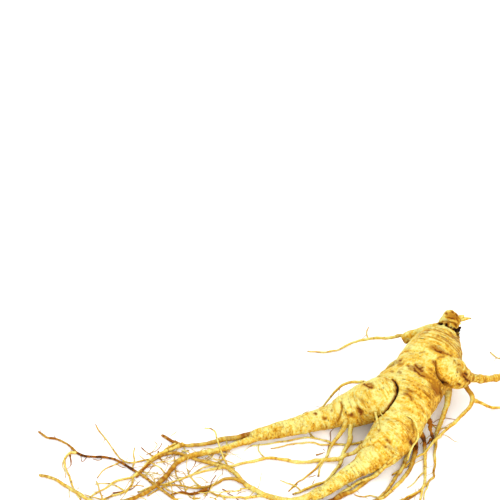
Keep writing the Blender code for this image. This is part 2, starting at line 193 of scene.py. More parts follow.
# Side roots: height of the start, share of the length after which it lies flat, radius at the start and
# at the tip, then the route seen from above, in millimetres
SIDE_ROOTS = {
    "leg_tail": (4, 0.25, 2.5, 0.8, [
        (-58, -60), (-68, -65), (-77, -66), (-89, -63), (-97, -58), (-104, -53), (-109, -46), (-115, -41),
        (-123, -38), (-132, -35), (-141, -31), (-150, -29), (-159, -32), (-166, -39), (-172, -48)]),
    "fork_back": (3.8, 0.3, 2.6, 0.9, [
        (-94, -15.6), (-101, -16.2), (-108, -17.2), (-116, -18.6), (-129, -22), (-138, -23), (-146, -22),
        (-152, -19), (-158, -15)]),
    "fork_front": (3.6, 0.3, 2.6, 0.9, [
        (-94, -18), (-101, -20), (-108, -23), (-119, -27), (-129, -29), (-138, -32), (-144, -35),
        (-149, -40), (-153, -46), (-157, -51), (-164, -58), (-172, -63), (-182, -67), (-191, -68),
        (-201, -64), (-207, -60), (-215, -54), (-223, -49), (-233, -46)]),
    "knob_root": (20, 0.62, 1.7, 0.45, [
        (5, 53), (0, 57), (-8, 60), (-19, 64), (-30, 63), (-38, 59), (-45, 57), (-52, 56), (-62, 57)]),
    "arm_root": (20, 0.55, 4.2, 0.5, [
        (37, 19), (45, 21), (53, 23), (61, 27), (69, 33), (78, 40), (88, 42), (99, 39), (107, 30),
        (113, 19)]),
    "arm_curl": (4, 0.5, 1, 0.4, [(92, 41), (83, 44), (75, 46), (69, 50), (66, 51), (62, 56)]),
    "arm_fork": (19, 1, 1.8, 0.6, [
        (34, 15), (38, 13), (41, 9), (43, 5), (42, 1), (39, -3), (34, -7), (28, -13), (21, -18), (15, -24),
        (10, -30), (1, -36), (-5, -41), (-12, -46)]),
    "arm_fork_right": (13.5, 0.5, 1.6, 0.5, [
        (43, 4), (48, 6), (53, 7), (57, 7), (61, 8), (70, 8), (79, 6)]),
    "under_arm": (13, 0.35, 1.7, 0.5, [
        (25, 19), (29, 15), (28, 9), (27, 4), (24, -2), (20, -10), (18, -18), (17, -26), (16, -35),
        (14, -43), (14, -47), (11, -50), (7, -55), (1, -61), (-6, -66)]),
    "thigh_inner": (8, 0.35, 1.8, 0.5, [
        (5, -15), (9, -20), (10, -25), (10, -33), (9, -43), (8, -50), (6, -57), (4, -64), (-1, -72),
        (-7, -78)]),
    "thigh_inner_twig": (1, 0.1, 0.8, 0.45, [(5, -58), (-1, -61), (-6, -64), (-13, -67), (-20, -73)]),
    "thigh_middle": (7, 0.35, 2, 0.5, [
        (0, -20), (0, -27), (-2, -34), (-5, -41), (-10, -48), (-15, -56), (-21, -63), (-29, -69),
        (-38, -73), (-47, -76)]),
    "thigh_outer": (7, 0.3, 2.1, 0.5, [
        (3, -19), (4, -28), (3, -34), (0, -41), (-5, -49), (-10, -54), (-15, -59), (-21, -64), (-31, -67),
        (-41, -69), (-52, -72)]),
    "leg_side": (12, 1, 1.6, 1, [
        (-9, -39), (-12, -41), (-16, -43), (-18, -45), (-23, -46), (-28, -49), (-33, -52), (-38, -56)]),
    "long_dark": (6, 0.2, 1.6, 0.7, [
        (-6, -33), (-14, -39), (-21, -44), (-28, -48), (-33, -52), (-38, -56), (-43, -59), (-50, -63),
        (-63, -70), (-79, -75), (-98, -78), (-116, -77), (-133, -72), (-146, -65), (-154, -58),
        (-162, -51), (-168, -46), (-175, -41), (-183, -36), (-192, -32), (-202, -32), (-211, -28),
        (-218, -21), (-225, -17), (-231, -16), (-237, -12)]),
    "shank_front": (11, 0.5, 1.7, 0.5, [
        (-38.5, -9), (-40.6, -14), (-43, -16), (-46.4, -18.6), (-49, -24), (-52, -31), (-55, -36),
        (-57, -40), (-58, -47)]),
    "shank_twig": (2, 0.3, 1, 0.4, [(-54, -34), (-59, -40), (-64, -46), (-71, -51), (-77, -58)]),
    "shank_back": (11, 0.5, 1.8, 0.7, [
        (-37, -9.5), (-36.4, -13), (-36.6, -17), (-37.6, -23), (-41, -30), (-44, -37), (-48, -44),
        (-53, -50), (-61, -54), (-69, -58), (-75, -60)]),
    "long_left": (10, 0.16, 1.8, 0.5, [
        (-20, -27), (-28, -27), (-34, -28), (-40, -31), (-48, -35), (-55, -35), (-68, -36), (-79, -34),
        (-91, -33), (-101, -36), (-113, -39), (-123, -41), (-133, -44), (-140, -47), (-146, -50),
        (-154, -53), (-163, -55), (-171, -59)]),
    "between_legs": (7, 0.18, 1, 0.4, [
        (-22, -22), (-32, -21), (-39, -22), (-46, -22), (-52, -19), (-59, -17), (-66, -16), (-77, -19),
        (-89, -21), (-101, -23)]),
    "between_twig": (1, 0.1, 0.7, 0.4, [
        (-45, -22), (-55, -22), (-62, -20), (-70, -21), (-78, -23), (-88, -25)]),
    "low_middle": (2.4, 0.2, 1.3, 0.45, [
        (-104, -53), (-109, -50), (-115, -49), (-121, -52), (-127, -55), (-135, -56), (-143, -54),
        (-151, -53), (-157, -56), (-164, -62)]),
    "low_left": (2.8, 0.2, 1.2, 0.45, [
        (-76, -66), (-85, -64), (-95, -62), (-107, -63), (-119, -61), (-127, -57), (-134, -52),
        (-138, -47), (-140, -41)]),
    "pale_long": (2.2, 0.3, 1.5, 0.45, [
        (-143, -23), (-151, -26), (-159, -30), (-165, -36), (-169, -41), (-173, -47), (-174, -53),
        (-178, -58), (-187, -62), (-196, -67), (-204, -74)]),
    "pale_twig": (1.6, 0.3, 1, 0.45, [
        (-171, -45), (-175, -48), (-183, -50), (-191, -56), (-197, -60), (-202, -66), (-207, -73)]),
    "long_fine": (1.9, 0.3, 0.8, 0.4, [
        (-148, -22), (-154, -26), (-158, -31), (-166, -34), (-175, -36), (-180, -35), (-185, -30),
        (-192, -19), (-198, -11), (-201, -5)]),
    "loop": (1.2, 0.3, 1, 0.5, [
        (-211, -29), (-215, -29), (-218, -34), (-216, -42), (-213, -49), (-209, -58), (-205, -65)]),
    "behind_thigh": (20, 1, 0.9, 0.45, [
        (-24, 11), (-31, 15), (-36, 16), (-40, 16), (-45, 15), (-49, 13), (-53, 8)]),
    "behind_body": (14, 0.45, 1.8, 0.5, [
        (8, 38), (2, 41), (-6, 40), (-16, 32), (-30, 23), (-42, 15), (-54, 7), (-66, 3)]),
    "dark_clump": (1.6, 0.3, 1.3, 0.6, [(-127, -57), (-134, -59), (-139, -60), (-145, -59), (-151, -62)]),
}

# Where a side root leaves the front of the flesh: how many points of its route are replaced, and the points
# with heights and radii that replace them
RAISED_STARTS = {
    "shank_front": (4, [
        (-38.5, -8.6, 15.6, 1.9), (-39.6, -12.6, 14.2, 1.8), (-41.2, -15, 9, 1.6),
        (-43.6, -17, 5.6, 1.5)]),
    "shank_back": (4, [
        (-36.8, -9.6, 11.6, 2), (-36.4, -13.4, 10, 1.8), (-36.6, -16.6, 6.4, 1.65),
        (-37.2, -21, 3.6, 1.6)]),
    "behind_thigh": (7, [
        (-22, 8, 22, 1), (-26.3, 9, 25, 1), (-32, 9.8, 24.4, 1), (-37.5, 12, 20.8, 0.95),
        (-41.7, 13, 16, 0.9), (-44.4, 13.4, 12, 0.85), (-48.6, 12.2, 6.5, 0.75), (-53, 9.2, 2, 0.65),
        (-57, 6, 0.8, 0.5)]),
    "leg_side": (8, [
        (-8.3, -41.6, 18.2, 0.8), (-9.6, -43.3, 17.7, 1.1), (-14, -45.4, 15.1, 1.2),
        (-18.1, -47.4, 11.2, 1.3), (-21.6, -48.4, 6.6, 1.2), (-25.2, -49.2, 3.4, 1.1),
        (-30.2, -50.6, 2, 1.1), (-34.7, -53, 1.6, 1), (-38.5, -55.6, 1.4, 1), (-43.7, -59.4, 1.3, 1),
        (-51.4, -65.2, 1.1, 0.8), (-57, -69, 1, 0.5)]),
    "long_dark": (8, [
        (-16, -41, 5, 1.3), (-22, -46.6, 2.6, 1.3), (-27.7, -50.8, 1.5, 1.2), (-32.8, -54.8, 1.4, 1.2),
        (-37.4, -58.4, 1.4, 1.2), (-43, -61, 1.6, 1.5), (-46.4, -62.8, 1.7, 1.6),
        (-51.5, -66.2, 1.6, 1.4)]),
    "under_arm": (6, [
        (24, 20, 15, 3.8), (27.4, 14.6, 12.6, 3.4), (28, 10.4, 10.4, 2.6), (27.6, 6.4, 8.4, 2.1),
        (25.6, 1, 6.2, 1.8), (23.2, -4.4, 4.4, 1.6), (19.6, -12, 2.8, 1.4)]),
    "long_left": (5, [
        (-20.4, -33.6, 23.4, 1.1), (-23.2, -35.6, 23.3, 1.6), (-25.5, -36.4, 22.4, 1.9),
        (-28.6, -36.4, 19, 1.8), (-31.6, -34.8, 13.8, 1.65), (-36.6, -34.2, 8.4, 1.5),
        (-41.2, -33.8, 4.9, 1.4), (-44.8, -35, 3, 1.4)]),
}

# The limbs that skin wrinkles run round: the spine goes from the neck to the tip of the right leg
SPINE = BODY + RIGHT_LEG[2:]
WRINKLED_LIMBS = [SPINE, LEFT_LEG, ARM + [(45, 21, 17.0, 3.6), (53, 23, 12.0, 3.3)], NECK, SHOULDER_ROOT]
SHOULDER_REACH = 30.0

# The grain of the skin is unrolled on a tube of this radius, each limb this far along from the last
GRAIN_RADIUS = 9.0
LIMB_APART = 300.0
STRAND_APART = 40.0

# Collars round the neck: height along the neck, radius of the ring, thickness, all in millimetres
NECK_FOOT = (30.5, 54.5, 21)
NECK_TOP = (33.2, 64, 29)
COLLARS = [(0.1, 7.2, 1.1), (0.34, 6.7, 0.9), (0.58, 6.1, 1.2), (0.82, 5.2, 0.8)]

# Lumps of the crown and of the knob: (x, y, z, radius)
LOBES = [
    (29.4, 61, 30.2, 2.8), (31.8, 61.6, 32.6, 3), (34.9, 60.6, 32.2, 3), (37.2, 59.6, 29.6, 2.6),
    (31.2, 58.8, 31, 2.2), (34.2, 58.4, 30.6, 2.2), (33, 62.6, 33.8, 1.7), (30, 59.8, 32.8, 1.5),
    (36.6, 60.4, 32.4, 1.6), (2.2, 53.4, 19.6, 2.5), (3.6, 51.6, 18.2, 2.3), (5.6, 52.2, 20.2, 2.3)]

# Scars and pits: half-width, stain from 0 to 1, and the short route on the skin
SCARS = [
    (0.4, 1, [(3.6, 12.2, 35.3), (5, 10, 35.4), (7.1, 7.9, 35), (9.9, 6.5, 34.4)]),
    (0.6, 1, [(5.2, 14.2, 35.8), (6.4, 12, 35.8), (7.9, 10.7, 35.6)]),
    (0.5, 0.9, [(7.3, 11, 35.7), (9, 12.7, 36)]),
    (0.4, 0.9, [(7.5, 9.6, 35.3), (9.5, 10.2, 35.3)]),
    (2, 0.4, [(2.7, 12.7, 35.2), (7.5, 10, 35.4), (10.5, 6.8, 34.3)]),
    (0.3, 0.8, [(0.1, 15.7, 34.3), (1.1, 14.2, 34.8)]),
    (0.4, 1, [(-4.1, 23.7, 29.5), (-3.2, 22.7, 30.8)]),
    (0.4, 0.5, [(-5, 19.7, 29.9), (-3.8, 19.1, 31.1)]),
    (1, 0.3, [(-5.8, 26.2, 25.2), (-3.1, 17.7, 32.2)]),
    (0.5, 0.45, [(-10.3, 15.7, 28.3), (-8.9, 14.5, 29.3)]),
    (0.5, 0.95, [(17, 28.2, 38), (18.8, 26.6, 37.6), (21, 25.5, 37.1), (23, 25.3, 36.4)]),
    (0.3, 0.7, [(19, 28.8, 37.9), (20.9, 28, 37.5)]),
    (1.5, 0.45, [(16.3, 27.9, 38), (23.6, 25, 36)]),
    (0.4, 0.7, [(24.3, 25.2, 35.8), (27, 24.8, 34.5), (29.4, 25.2, 32.8)]),
    (0.3, 0.7, [(16.8, 17.7, 36.2), (17.7, 16.6, 35.5), (18.5, 17.8, 35.6)]),
    (0.5, 0.4, [(19.9, 20.1, 35.8), (22, 21.6, 35.5), (24.1, 22.8, 35.1)]),
    (1, 0.35, [(16.4, 16.3, 35.9), (18.3, 14.9, 34.6)]),
    (0.5, 1, [(-28.2, 3.5, 30.1), (-26.3, 0.1, 32.3), (-24, -2, 33.4)]),
    (0.4, 0.8, [(-26.1, 2.4, 31.9), (-23.8, 1.5, 33.4)]),
    (0.7, 0.5, [(-24.8, 0, 33.1), (-23, -1, 33.8)]),
    (0.5, 0.75, [(-2.9, -6.1, 33.1), (-1.3, -7.2, 32.9), (0.8, -9.1, 32.3), (0.9, -10.5, 32)]),
    (0.4, 0.6, [(-1.3, -2.8, 33.5), (-0.1, -4.1, 33.3), (1.2, -4.1, 33.2)]),
    (1.5, 0.35, [(-3.1, -6.1, 33.1), (1.1, -9.4, 32.2)]),
    (0.8, 0.85, [(-32.3, -10.1, 22), (-31.4, -11.2, 20.9), (-30.4, -12.2, 19.2)]),
    (0.9, 0.6, [(-31.1, -10.8, 21.9), (-29.5, -11.9, 20.7)]),
    (0.3, 0.5, [(-30.4, -12.9, 17.4), (-30.1, -13.2, 15.9)]),
    (0.8, 0.8, [(-37.2, -11.8, 17.6), (-36, -11.7, 18)]),
    (1.3, 0.4, [(-38.2, -11.5, 17.7), (-35.4, -12.1, 17.5)]),
    (0.4, 1, [(32.9, 17.2, 33.3), (33.9, 17.6, 32.8)]),
    (0.7, 1, [(36.9, 13.4, 29.7), (38.3, 12.9, 28.4)]),
    (0.6, 1, [(36.4, 11.2, 28.2), (38.4, 11, 26), (40.6, 11.8, 22.6)]),
    (0.8, 0.7, [(35.8, 12.4, 30), (36.8, 11.4, 28.3)]),
    (1.6, 0.42, [(33.1, 13.7, 32), (35.8, 11.7, 29.4), (38, 10.2, 25.3)]),
    (0.6, 0.85, [(32.3, 8.4, 24.9), (33.8, 8.4, 23.4)]),
    (1.6, 0.5, [(14.9, 1.5, 29.8), (18.4, 1.7, 26.6), (19.2, 1, 24.4)]),
    (0.7, 0.75, [(16.3, 1, 28.4), (18.5, 0.2, 24.9)]),
    (0.5, 0.9, [(-16.1, -35.6, 24.3), (-13.7, -37.4, 22.8)]),
    (0.5, 0.9, [(-17.1, -38.9, 22.1), (-14.1, -40.3, 20)]),
    (0.4, 0.8, [(-16.6, -44, 16), (-16.1, -43.8, 15.8)]),
    (0.6, 0.6, [(-53.8, -10.2, 12.6), (-52.7, -10.4, 12.4)]),
    (0.5, 0.5, [(-49, -5.5, 15.5), (-48.5, -6.4, 15.4)]),
    (0.4, 0.9, [(-59, -6.6, 13.1), (-58.5, -7.1, 13.2)]),
    (2, 0.65, [(-107, -16.1, 4.4), (-102, -20, 7.1)]),
    (0.5, 1, [(29.6, 61.4, 33.8), (30.4, 60.6, 33.4)]),
    (0.4, 0.9, [(33.2, 61.8, 34.3), (34.4, 61.2, 34.2)]),
    (0.5, 1, [(35.6, 60.8, 33.8), (36.3, 59.8, 33)]),
    (0.4, 0.9, [(31, 58.6, 32.4), (32.6, 58.1, 32.6), (34.6, 57.9, 32)]),
    (0.4, 0.8, [(36.6, 58.6, 31.8), (37.2, 58, 30.4)]),
    (1.6, 0.35, [(32, 60.4, 33.6), (36.8, 58.8, 31.6)]),
    (1.2, 1, [(-0.5, -33.3, 18.8), (0.6, -32.6, 15.6)]),
    (1, 0.8, [(4.6, -28.6, 15), (5.2, -26.8, 17)]),
    (0.5, 0.5, [(12.5, 6.6, 33.6), (15, 5.8, 32.2)]),
    (0.4, 0.4, [(8.6, 23.7, 37), (11.4, 24.4, 37.4)]),
    (0.4, 0.4, [(7, -8, 30.5), (5.4, -6, 31.6)]),
    (0.4, 0.4, [(-5.9, 13.1, 30.8), (-4.4, 11.6, 31.8)]),
    (0.5, 0.6, [(4.4, 50, 17.6), (5.4, 50.4, 19.6)]),
    (0.6, 0.5, [(11.5, -9.5, 28), (13.5, -8, 26)]),
]
# How far the outline of a scar strays, and how far that of a crack and of a patch, all in millimetres
SCAR_STRAY = 0.7
CRACK_STRAY = 0.25
PATCH_STRAY = 2.1

# How far a side root's foot swells where it leaves the flesh
FLARE_FROM_RADIUS = 1.6
FLARE_LENGTH = 3.4
FLARE_WIDTH = (1.35, 0.85)
TAIL_FLARE_WIDTH = (1.05, 0.85)
TAILS = {"leg_tail", "fork_back", "fork_front", "long_dark"}

# Side roots whose foot is stained brown, how far the stain reaches, and side roots with strong rings
STAINED_FEET = {
    "thigh_inner": 0.95, "thigh_middle": 0.8, "thigh_outer": 0.85, "arm_fork": 0.4, "arm_root": 0.35,
    "behind_body": 0.4, "knob_root": 0.2}
FOOT_STAIN_REACH = (7, 19)
BEADED_ROOTS = {"arm_root": 0.2, "arm_fork": 0.16}

# How dark some side roots are along their length: share of the length, and the stain there
STAIN_ALONG = {
    "long_dark": [
        (0, 0.1), (0.08, 0.35), (0.1, 0.1), (0.13, 0.4), (0.15, 0.75), (0.2, 0.85), (0.25, 0.4),
        (0.35, 0.15), (0.45, 0.2), (0.6, 0.34), (0.68, 0.55), (0.72, 1), (0.8, 1.2), (0.86, 1.1),
        (0.88, 0.6), (0.92, 0.5), (0.95, 0.75), (0.97, 0.5), (1, 0.95)],
    "fork_back": [(0, 0.9), (0.12, 0.95), (0.2, 0.45), (0.4, 0.25), (0.7, 0.3), (0.85, 0.5), (1, 0.95)],
    "fork_front": [(0, 0.05), (0.2, 0.1), (0.33, 0.25), (0.42, 0.5), (0.6, 0.45), (0.7, 0.1), (1, 0.3)],
    "leg_tail": [(0, 0.1), (0.5, 0.15), (0.65, 0.35), (0.85, 0.5), (1, 0.7)],
    "under_arm": [
        (0, 0.6), (0.07, 0.45), (0.12, 0.12), (0.3, 0.1), (0.45, 0.2), (0.62, 0.1), (0.68, 0.6),
        (0.72, 0.2), (1, 0.5)],
}

# Side roots that are darker than the rest, and side roots that are paler
DARK_ROOTS = {
    "dark_clump": 0.75, "thigh_middle": 0.25, "thigh_outer": 0.2, "low_middle": 0.25, "low_left": 0.2,
    "long_fine": 0.15}
PALE_ROOTS = {
    "knob_root", "long_left", "shank_front", "shank_back", "pale_long", "leg_side", "between_legs",
    "arm_root", "behind_thigh"}
USUAL_STAIN = 0.1

# Fine hairs that lie on the surface: their routes seen from above, in millimetres
HAIRS = {
    "right_a": [(18, -4), (22, -1), (26, 0), (33, -2)],
    "right_b": [(20, -12), (25, -8), (30, -4)],
    "right_c": [(20, -12), (26, -15), (30, -19), (33, -20)],
    "right_d": [(8, -21), (12, -17), (17, -13), (19, -11)],
    "right_e": [(12, -21), (17, -21)],
    "low_a": [(-3, -40), (2, -37), (7, -34), (10, -32)],
    "low_b": [(-4, -36), (-10, -47), (-14, -53), (-17, -58)],
    "tip_back": [(-152, -15), (-149, -12), (-148, -10)],
    "curl": [(-162, -19), (-160, -22), (-162, -26), (-165, -30)],
    "left_brown": [(-157, -20), (-158, -23), (-160, -26), (-164, -28), (-167, -30)],
    "fan_a": [(-147, -22), (-149, -26), (-152, -29), (-156, -31), (-159, -33)],
    "fan_b": [(-146, -24), (-149, -28), (-151, -31), (-155, -33)],
    "fan_c": [(-153, -22), (-153, -26), (-154, -28), (-157, -31)],
    "fan_d": [(-150, -22), (-152, -25), (-153, -27), (-156, -30)],
    "twig": [(-135, -34), (-136, -38), (-139, -43), (-139, -45)],
    "twig_side": [(-141, -40), (-139, -42), (-138, -43)],
    "arch": [(-122, -27), (-126, -31), (-130, -32), (-132, -31)],
    "pale_arch": [(-135, -47), (-132, -47), (-129, -49), (-127, -51)],
    "pale_e": [(-109, -60), (-106, -58), (-103, -58)],
    "loop_a": [(-208, -31), (-207, -35), (-205, -33), (-204, -31)],
    "loop_b": [(-200, -33), (-197, -34), (-195, -33), (-195, -31)],
    "under_dark": [(-185, -37), (-182, -39), (-179, -40)],
    "loop_outer": [(-218, -31), (-219, -34), (-219, -38), (-217, -43), (-216, -48)],
    "spur": [(-208, -56), (-207, -54)],
    "low_pale": [(-192, -64), (-188, -62), (-184, -60)],
    "low_strand": [(-213, -55), (-213, -59), (-212, -63)],
    "shank_up": [(-62, -15), (-61, -13)],
    "shank_left_dark": [(-47, -9), (-49, -12), (-49, -17), (-50, -21), (-52, -28)],
    "shank_curl": [(-54, -25), (-53, -27)],
    "end_a": [(-77, -58), (-74, -55), (-71, -52)],
    "end_b": [(-64, -47), (-61, -46), (-59, -45)],
    "end_c": [(-57, -40), (-58, -44), (-59, -47)],
    "end_d": [(-62, -52), (-60, -48)],
    "tangle_a": [(-169, -42), (-166, -43), (-162, -43), (-157, -45)],
    "tangle_b": [(-161, -36), (-163, -40), (-165, -44), (-168, -48)],
    "tangle_c": [(-155, -43), (-151, -45), (-146, -48), (-141, -47)],
    "tangle_d": [(-154, -54), (-149, -52), (-144, -55), (-140, -56)],
    "tangle_e": [(-152, -46), (-149, -50), (-146, -54), (-142, -58)],
    "tangle_f": [(-156, -57), (-152, -59), (-148, -63)],
    "tangle_g": [(-164, -30), (-160, -32), (-156, -33), (-151, -31)],
}
BROWN_HAIRS = {
    "right_a", "right_e", "left_brown", "loop_a", "loop_b", "under_dark", "shank_left_dark", "spur",
    "shank_curl", "tangle_b", "tangle_e", "twig", "end_b"}

# Threads that criss-cross the tangle: how many, the ground they cover, length and radius, in millimetres
THREAD_COUNT = 46
THREAD_SEED = 37
THREAD_GROUND = ((-172, -104), (-66, -24))
THREAD_LENGTH = (12, 34)
THREAD_RADIUS = (0.24, 0.5)
THREAD_LIFT = (0.2, 3.5)
THREAD_STRIDES = 5
THREAD_STAINS = (0.0, 0.0, 0.05, 0.3, 0.7)

# Short dark root ends that lie in the tangle
DARK_BIT_RADIUS = 0.5
DARK_BITS = {
    "bit_left": [(-159, -27), (-159, -30), (-156, -35), (-154, -38)],
    "bit_low": [(-130, -58), (-127, -61)],
    "bit_right": [(-118, -56), (-113, -59)],
    "bit_shank": [(-59, -30), (-56, -29), (-53, -28)],
    "bit_loop": [(-215, -30), (-214, -35), (-214, -38), (-216, -41)],
    "bit_tail": [(-186, -59), (-180, -58), (-174, -56), (-171, -52), (-169, -49)],
}

# Thin roots and hairs with a height of their own: radius, then (x, y, z), all in millimetres
RAISED_HAIRS = {
    "over_fork": (0.6, [
        (-130, -9, 1), (-126, -11, 3), (-123, -16, 6), (-122, -21, 6.4), (-120, -27, 5.2), (-118, -32, 2),
        (-115, -38, 0.6)]),
    "thigh_white": (0.9, [
        (-21.7, -14.3, 24.4), (-21.4, -15.3, 22.9), (-21.1, -16.6, 22.4), (-20.9, -19.4, 23.4),
        (-20.9, -23.3, 25), (-20.8, -26, 26), (-20.8, -28.7, 26.3), (-20.7, -30.9, 26)]),
    "thigh_fork": (0.45, [
        (-18.9, -13.5, 25), (-18.2, -15.8, 24.2), (-17.6, -18, 25.6), (-16.9, -21.1, 26.9),
        (-14.1, -23.5, 28.4)]),
    "thigh_thread": (0.4, [(-14.1, -23.5, 28.4), (-11.5, -24.6, 28.9), (-8.6, -25, 29.2)]),
    "hugging": (0.8, [
        (-3.5, -20.8, 29.8), (-1.2, -21.5, 29.2), (0.7, -22.5, 28.2), (2.3, -23.9, 26.4),
        (3.2, -25.3, 24.6), (4.2, -27.2, 21), (4.1, -29.1, 16.1), (0.9, -33.1, 14), (-1, -35.5, 9),
        (-2, -37.5, 4)]),
}

# Torn rusty stubs of dead side roots: radius, then (x, y, z), all in millimetres
TORN_STUBS = [
    (1.9, [
        (9.5, -10, 16), (13, -11.8, 13.6), (14.6, -13.8, 11.2), (14.4, -16.4, 9), (14.8, -18.8, 6.4),
        (15.4, -21.4, 4), (14.6, -24.4, 2.4)]),
    (1, [(12, -12.4, 12.8), (16, -13.4, 10), (18.4, -12.8, 8.8)]),
    (1.2, [(8, -19, 9), (9.8, -21.6, 6.6), (10.4, -23.2, 4.4), (9.2, -24.8, 3)]),
    (0.9, [(14.8, -20.4, 5), (12.4, -22.6, 3), (10, -23.8, 2.4)]),
    (1.2, [(1, -24, 15), (4.4, -26.6, 11), (5.4, -28.4, 8), (4, -30, 6)]),
]

# Fibres left of the dried stem: base to tip, with the radius at each point
STEM_FIBRES = [
    [(35.5, 61, 28, 1.9), (39, 61.4, 29.4, 1.5), (42.1, 61.8, 31, 0.5)],
    [(36, 60.6, 27.6, 1.8), (41, 61, 28.4, 1.3), (44.5, 61.2, 28.8, 0.9), (47.2, 61.1, 28.5, 0.35)],
    [(36.4, 61, 27.2, 1.5), (41, 60.4, 28.8, 1), (44.6, 60.8, 30.2, 0.4)],
    [(35.8, 59.8, 27, 1.7), (38.4, 59.2, 26.6, 1.2), (40.3, 58.8, 25.6, 0.5)],
    [(37, 62, 27, 1.2), (42, 62.6, 27.2, 0.8), (45.6, 63, 27.6, 0.35)],
]

# Soil that clings to the neck: (x, y, z, size) of the large lumps, and how many crumbs follow the crack
SOIL_LUMPS = [
    (37.4, 56, 24.8, 1.8), (38.4, 55.4, 23.9, 1.4), (39.2, 56.3, 25.1, 0.9), (37.2, 54.8, 23.4, 1.6),
    (37.8, 53.5, 22, 1.3), (38, 52.2, 20.4, 1), (36.4, 53.6, 25.8, 1.3), (35, 54, 27, 1)]
NECK_CRUMBS = 26
LUMP_CRUMBS = 18
CRUMB_SIZE = (0.25, 0.5)
CRUMB_SEED = 5
DARK_ROOT_CRUMBS = 40

# The camera stands where the photographer stood, half a metre away and looking down
CAMERA_PLACE = (-0.1008, -0.5611, 0.7156)
CAMERA_TILT = 45.0
CAMERA_LENS = 100.0

# Lights: where each stands, its width in metres, power and colour. They aim at the middle of the root
LIGHTS_AIM = (-0.02, 0.0, 0.02)
LIGHTS = {
    "key": ((-0.02, 0.80, 1.15), 1.7, 9.8, (1.0, 0.985, 0.96)),
    "fill": ((0.1, -1.1, 0.65), 1.2, 10.5, (1.0, 1.0, 1.0)),
}
WORLD_STRENGTH = 1.3

# The first seed of each kind of strand
ROOTLET_SEEDS = 60
HAIR_SEEDS = 200
RAISED_SEEDS = 300
DARK_BIT_SEEDS = 320
STUB_SEEDS = 350
SHORT_HAIR_SEEDS = 400
FIBRE_SEEDS = 500
THREAD_SEEDS = 600

# Skin: how strongly mottles, fine grain and bands shift the tone, and where on the scale each tone lies
MOTTLE_STRENGTH = 1.5
FINE_STRENGTH = 2.0
BAND_STRENGTH = 2.3
TONE_STOPS = {"umber": 0.02, "amber": 0.30, "straw": 0.60, "cream": 0.95}

# Stains, wear and painted crease shade: each colour, how stained the skin is where it starts and where it is
# full, and its strength
WEAR_AND_CREASE_SHADE = (("umber", 0.02, 0.30, 0.68), ("rust", 0.28, 0.66, 0.95), ("bark", 0.66, 0.98, 0.85))

# Strengths of the skin's blotches, painted highlights on the line rims, lines and flecks, and the sizes of
# flecks as shares of a cell
BLOTCH_STRENGTH = 0.55
RIM_HIGHLIGHT_STRENGTH = 0.60
LINE_STRENGTH = 0.95
FLECK_STRENGTH = 0.80
LONG_FLECKS = (0.05, 0.20)
ROUND_FLECKS = (0.02, 0.11)

# Each skin: spacing and length of its lines, size of its mottles and flecks, share of flecks, and relief
SKINS = {
    "flesh_skin": dict(
        line_size=1.2 * MM, line_width=9 * MM, mottle_size=8 * MM, speck_size=3.0 * MM, speck_share=0.34,
        bump=0.4 * MM),
    "side_root_skin": dict(
        line_size=0.9 * MM, line_width=6 * MM, mottle_size=5 * MM, speck_size=2.2 * MM, speck_share=0.34,
        bump=0.25 * MM),
    "hair_skin": dict(
        line_size=0.8 * MM, line_width=4 * MM, mottle_size=3 * MM, speck_size=3.0 * MM, speck_share=0.2,
        bump=0.08 * MM),
}


class GinsengSizes(bpy.types.PropertyGroup):
    """The sizes that a user would change."""

    skin_grain: FloatProperty(
        name="Skin grain", description="Size of the smallest patch of modelled skin", default=0.6 * MM,
        unit="LENGTH")
    skin_smoothing: IntProperty(
        name="Skin smoothing", description="Rounds of smoothing where the limbs melt together", default=14)
    lump_height: FloatProperty(
        name="Lump height", description="Height of the broad lumps in the flesh", default=0.55 * MM,
        unit="LENGTH")
    ring_depth: FloatProperty(
        name="Ring depth", description="Depth of the growth rings round the shoulder", default=0.6 * MM,
        unit="LENGTH")
    wrinkle_depth: FloatProperty(
        name="Wrinkle depth", description="Depth of the wrinkles across body and legs", default=0.5 * MM,
        unit="LENGTH")
    root_wobble: FloatProperty(
        name="Root wobble", description="How far a side root strays from its route", default=0.55 * MM,
        unit="LENGTH")
    hair_radius: FloatProperty(
        name="Hair radius", description="Radius of a fine root hair", default=0.2 * MM, unit="LENGTH")
    hair_count: IntProperty(name="Seeded hairs", description="Short hairs placed by rule", default=80)
    floor_width: FloatProperty(
        name="Floor width", description="Width of the floor", default=6.0, unit="LENGTH")


class GinsengColours(bpy.types.PropertyGroup):
    """The colours that a user would change."""

    # Cream to umber make the scale of the skin's tone, which carries painted light and shade: cream the
    # painted lit side and the painted highlights on rims, amber and umber the painted shade; amber also
    # colours blotches, and umber the edges of stains and scars
    cream: FloatVectorProperty(
        name="Cream", description="Skin that faced the light", default=(0.65, 0.60, 0.195),
        subtype="COLOR")
    straw: FloatVectorProperty(
        name="Straw", description="Skin between cream and amber", default=(0.63, 0.43, 0.054),
        subtype="COLOR")
    amber: FloatVectorProperty(
        name="Amber", description="Skin on the shaded side", default=(0.56, 0.27, 0.014), subtype="COLOR")
    umber: FloatVectorProperty(
        name="Umber", description="Skin deep in the shade", default=(0.29, 0.116, 0.006), subtype="COLOR")
    rust: FloatVectorProperty(
        name="Rust", description="Rim of a scar", default=(0.24, 0.070, 0.003), subtype="COLOR")
    bark: FloatVectorProperty(
        name="Bark", description="Middle of a scar, specks and dead root ends",
        default=(0.05, 0.014, 0.003), subtype="COLOR")
    # Soil also paints the near-black shade at the bottom of deep creases
    soil: FloatVectorProperty(
        name="Soil", description="Clinging soil and the bottom of deep creases",
        default=(0.012, 0.005, 0.002), subtype="COLOR")
    floor: FloatVectorProperty(
        name="Floor", description="The floor", default=(0.95, 0.95, 0.95), subtype="COLOR")


def deselect():
    for thing in list(bpy.context.selected_objects):
        thing.select_set(False)


def smoothstep(value, low, high):
    """0 below low, 1 above high, and a smooth rise between them."""
    share = np.clip((value - low) / (high - low), 0.0, 1.0)
    return share * share * (3 - 2 * share)


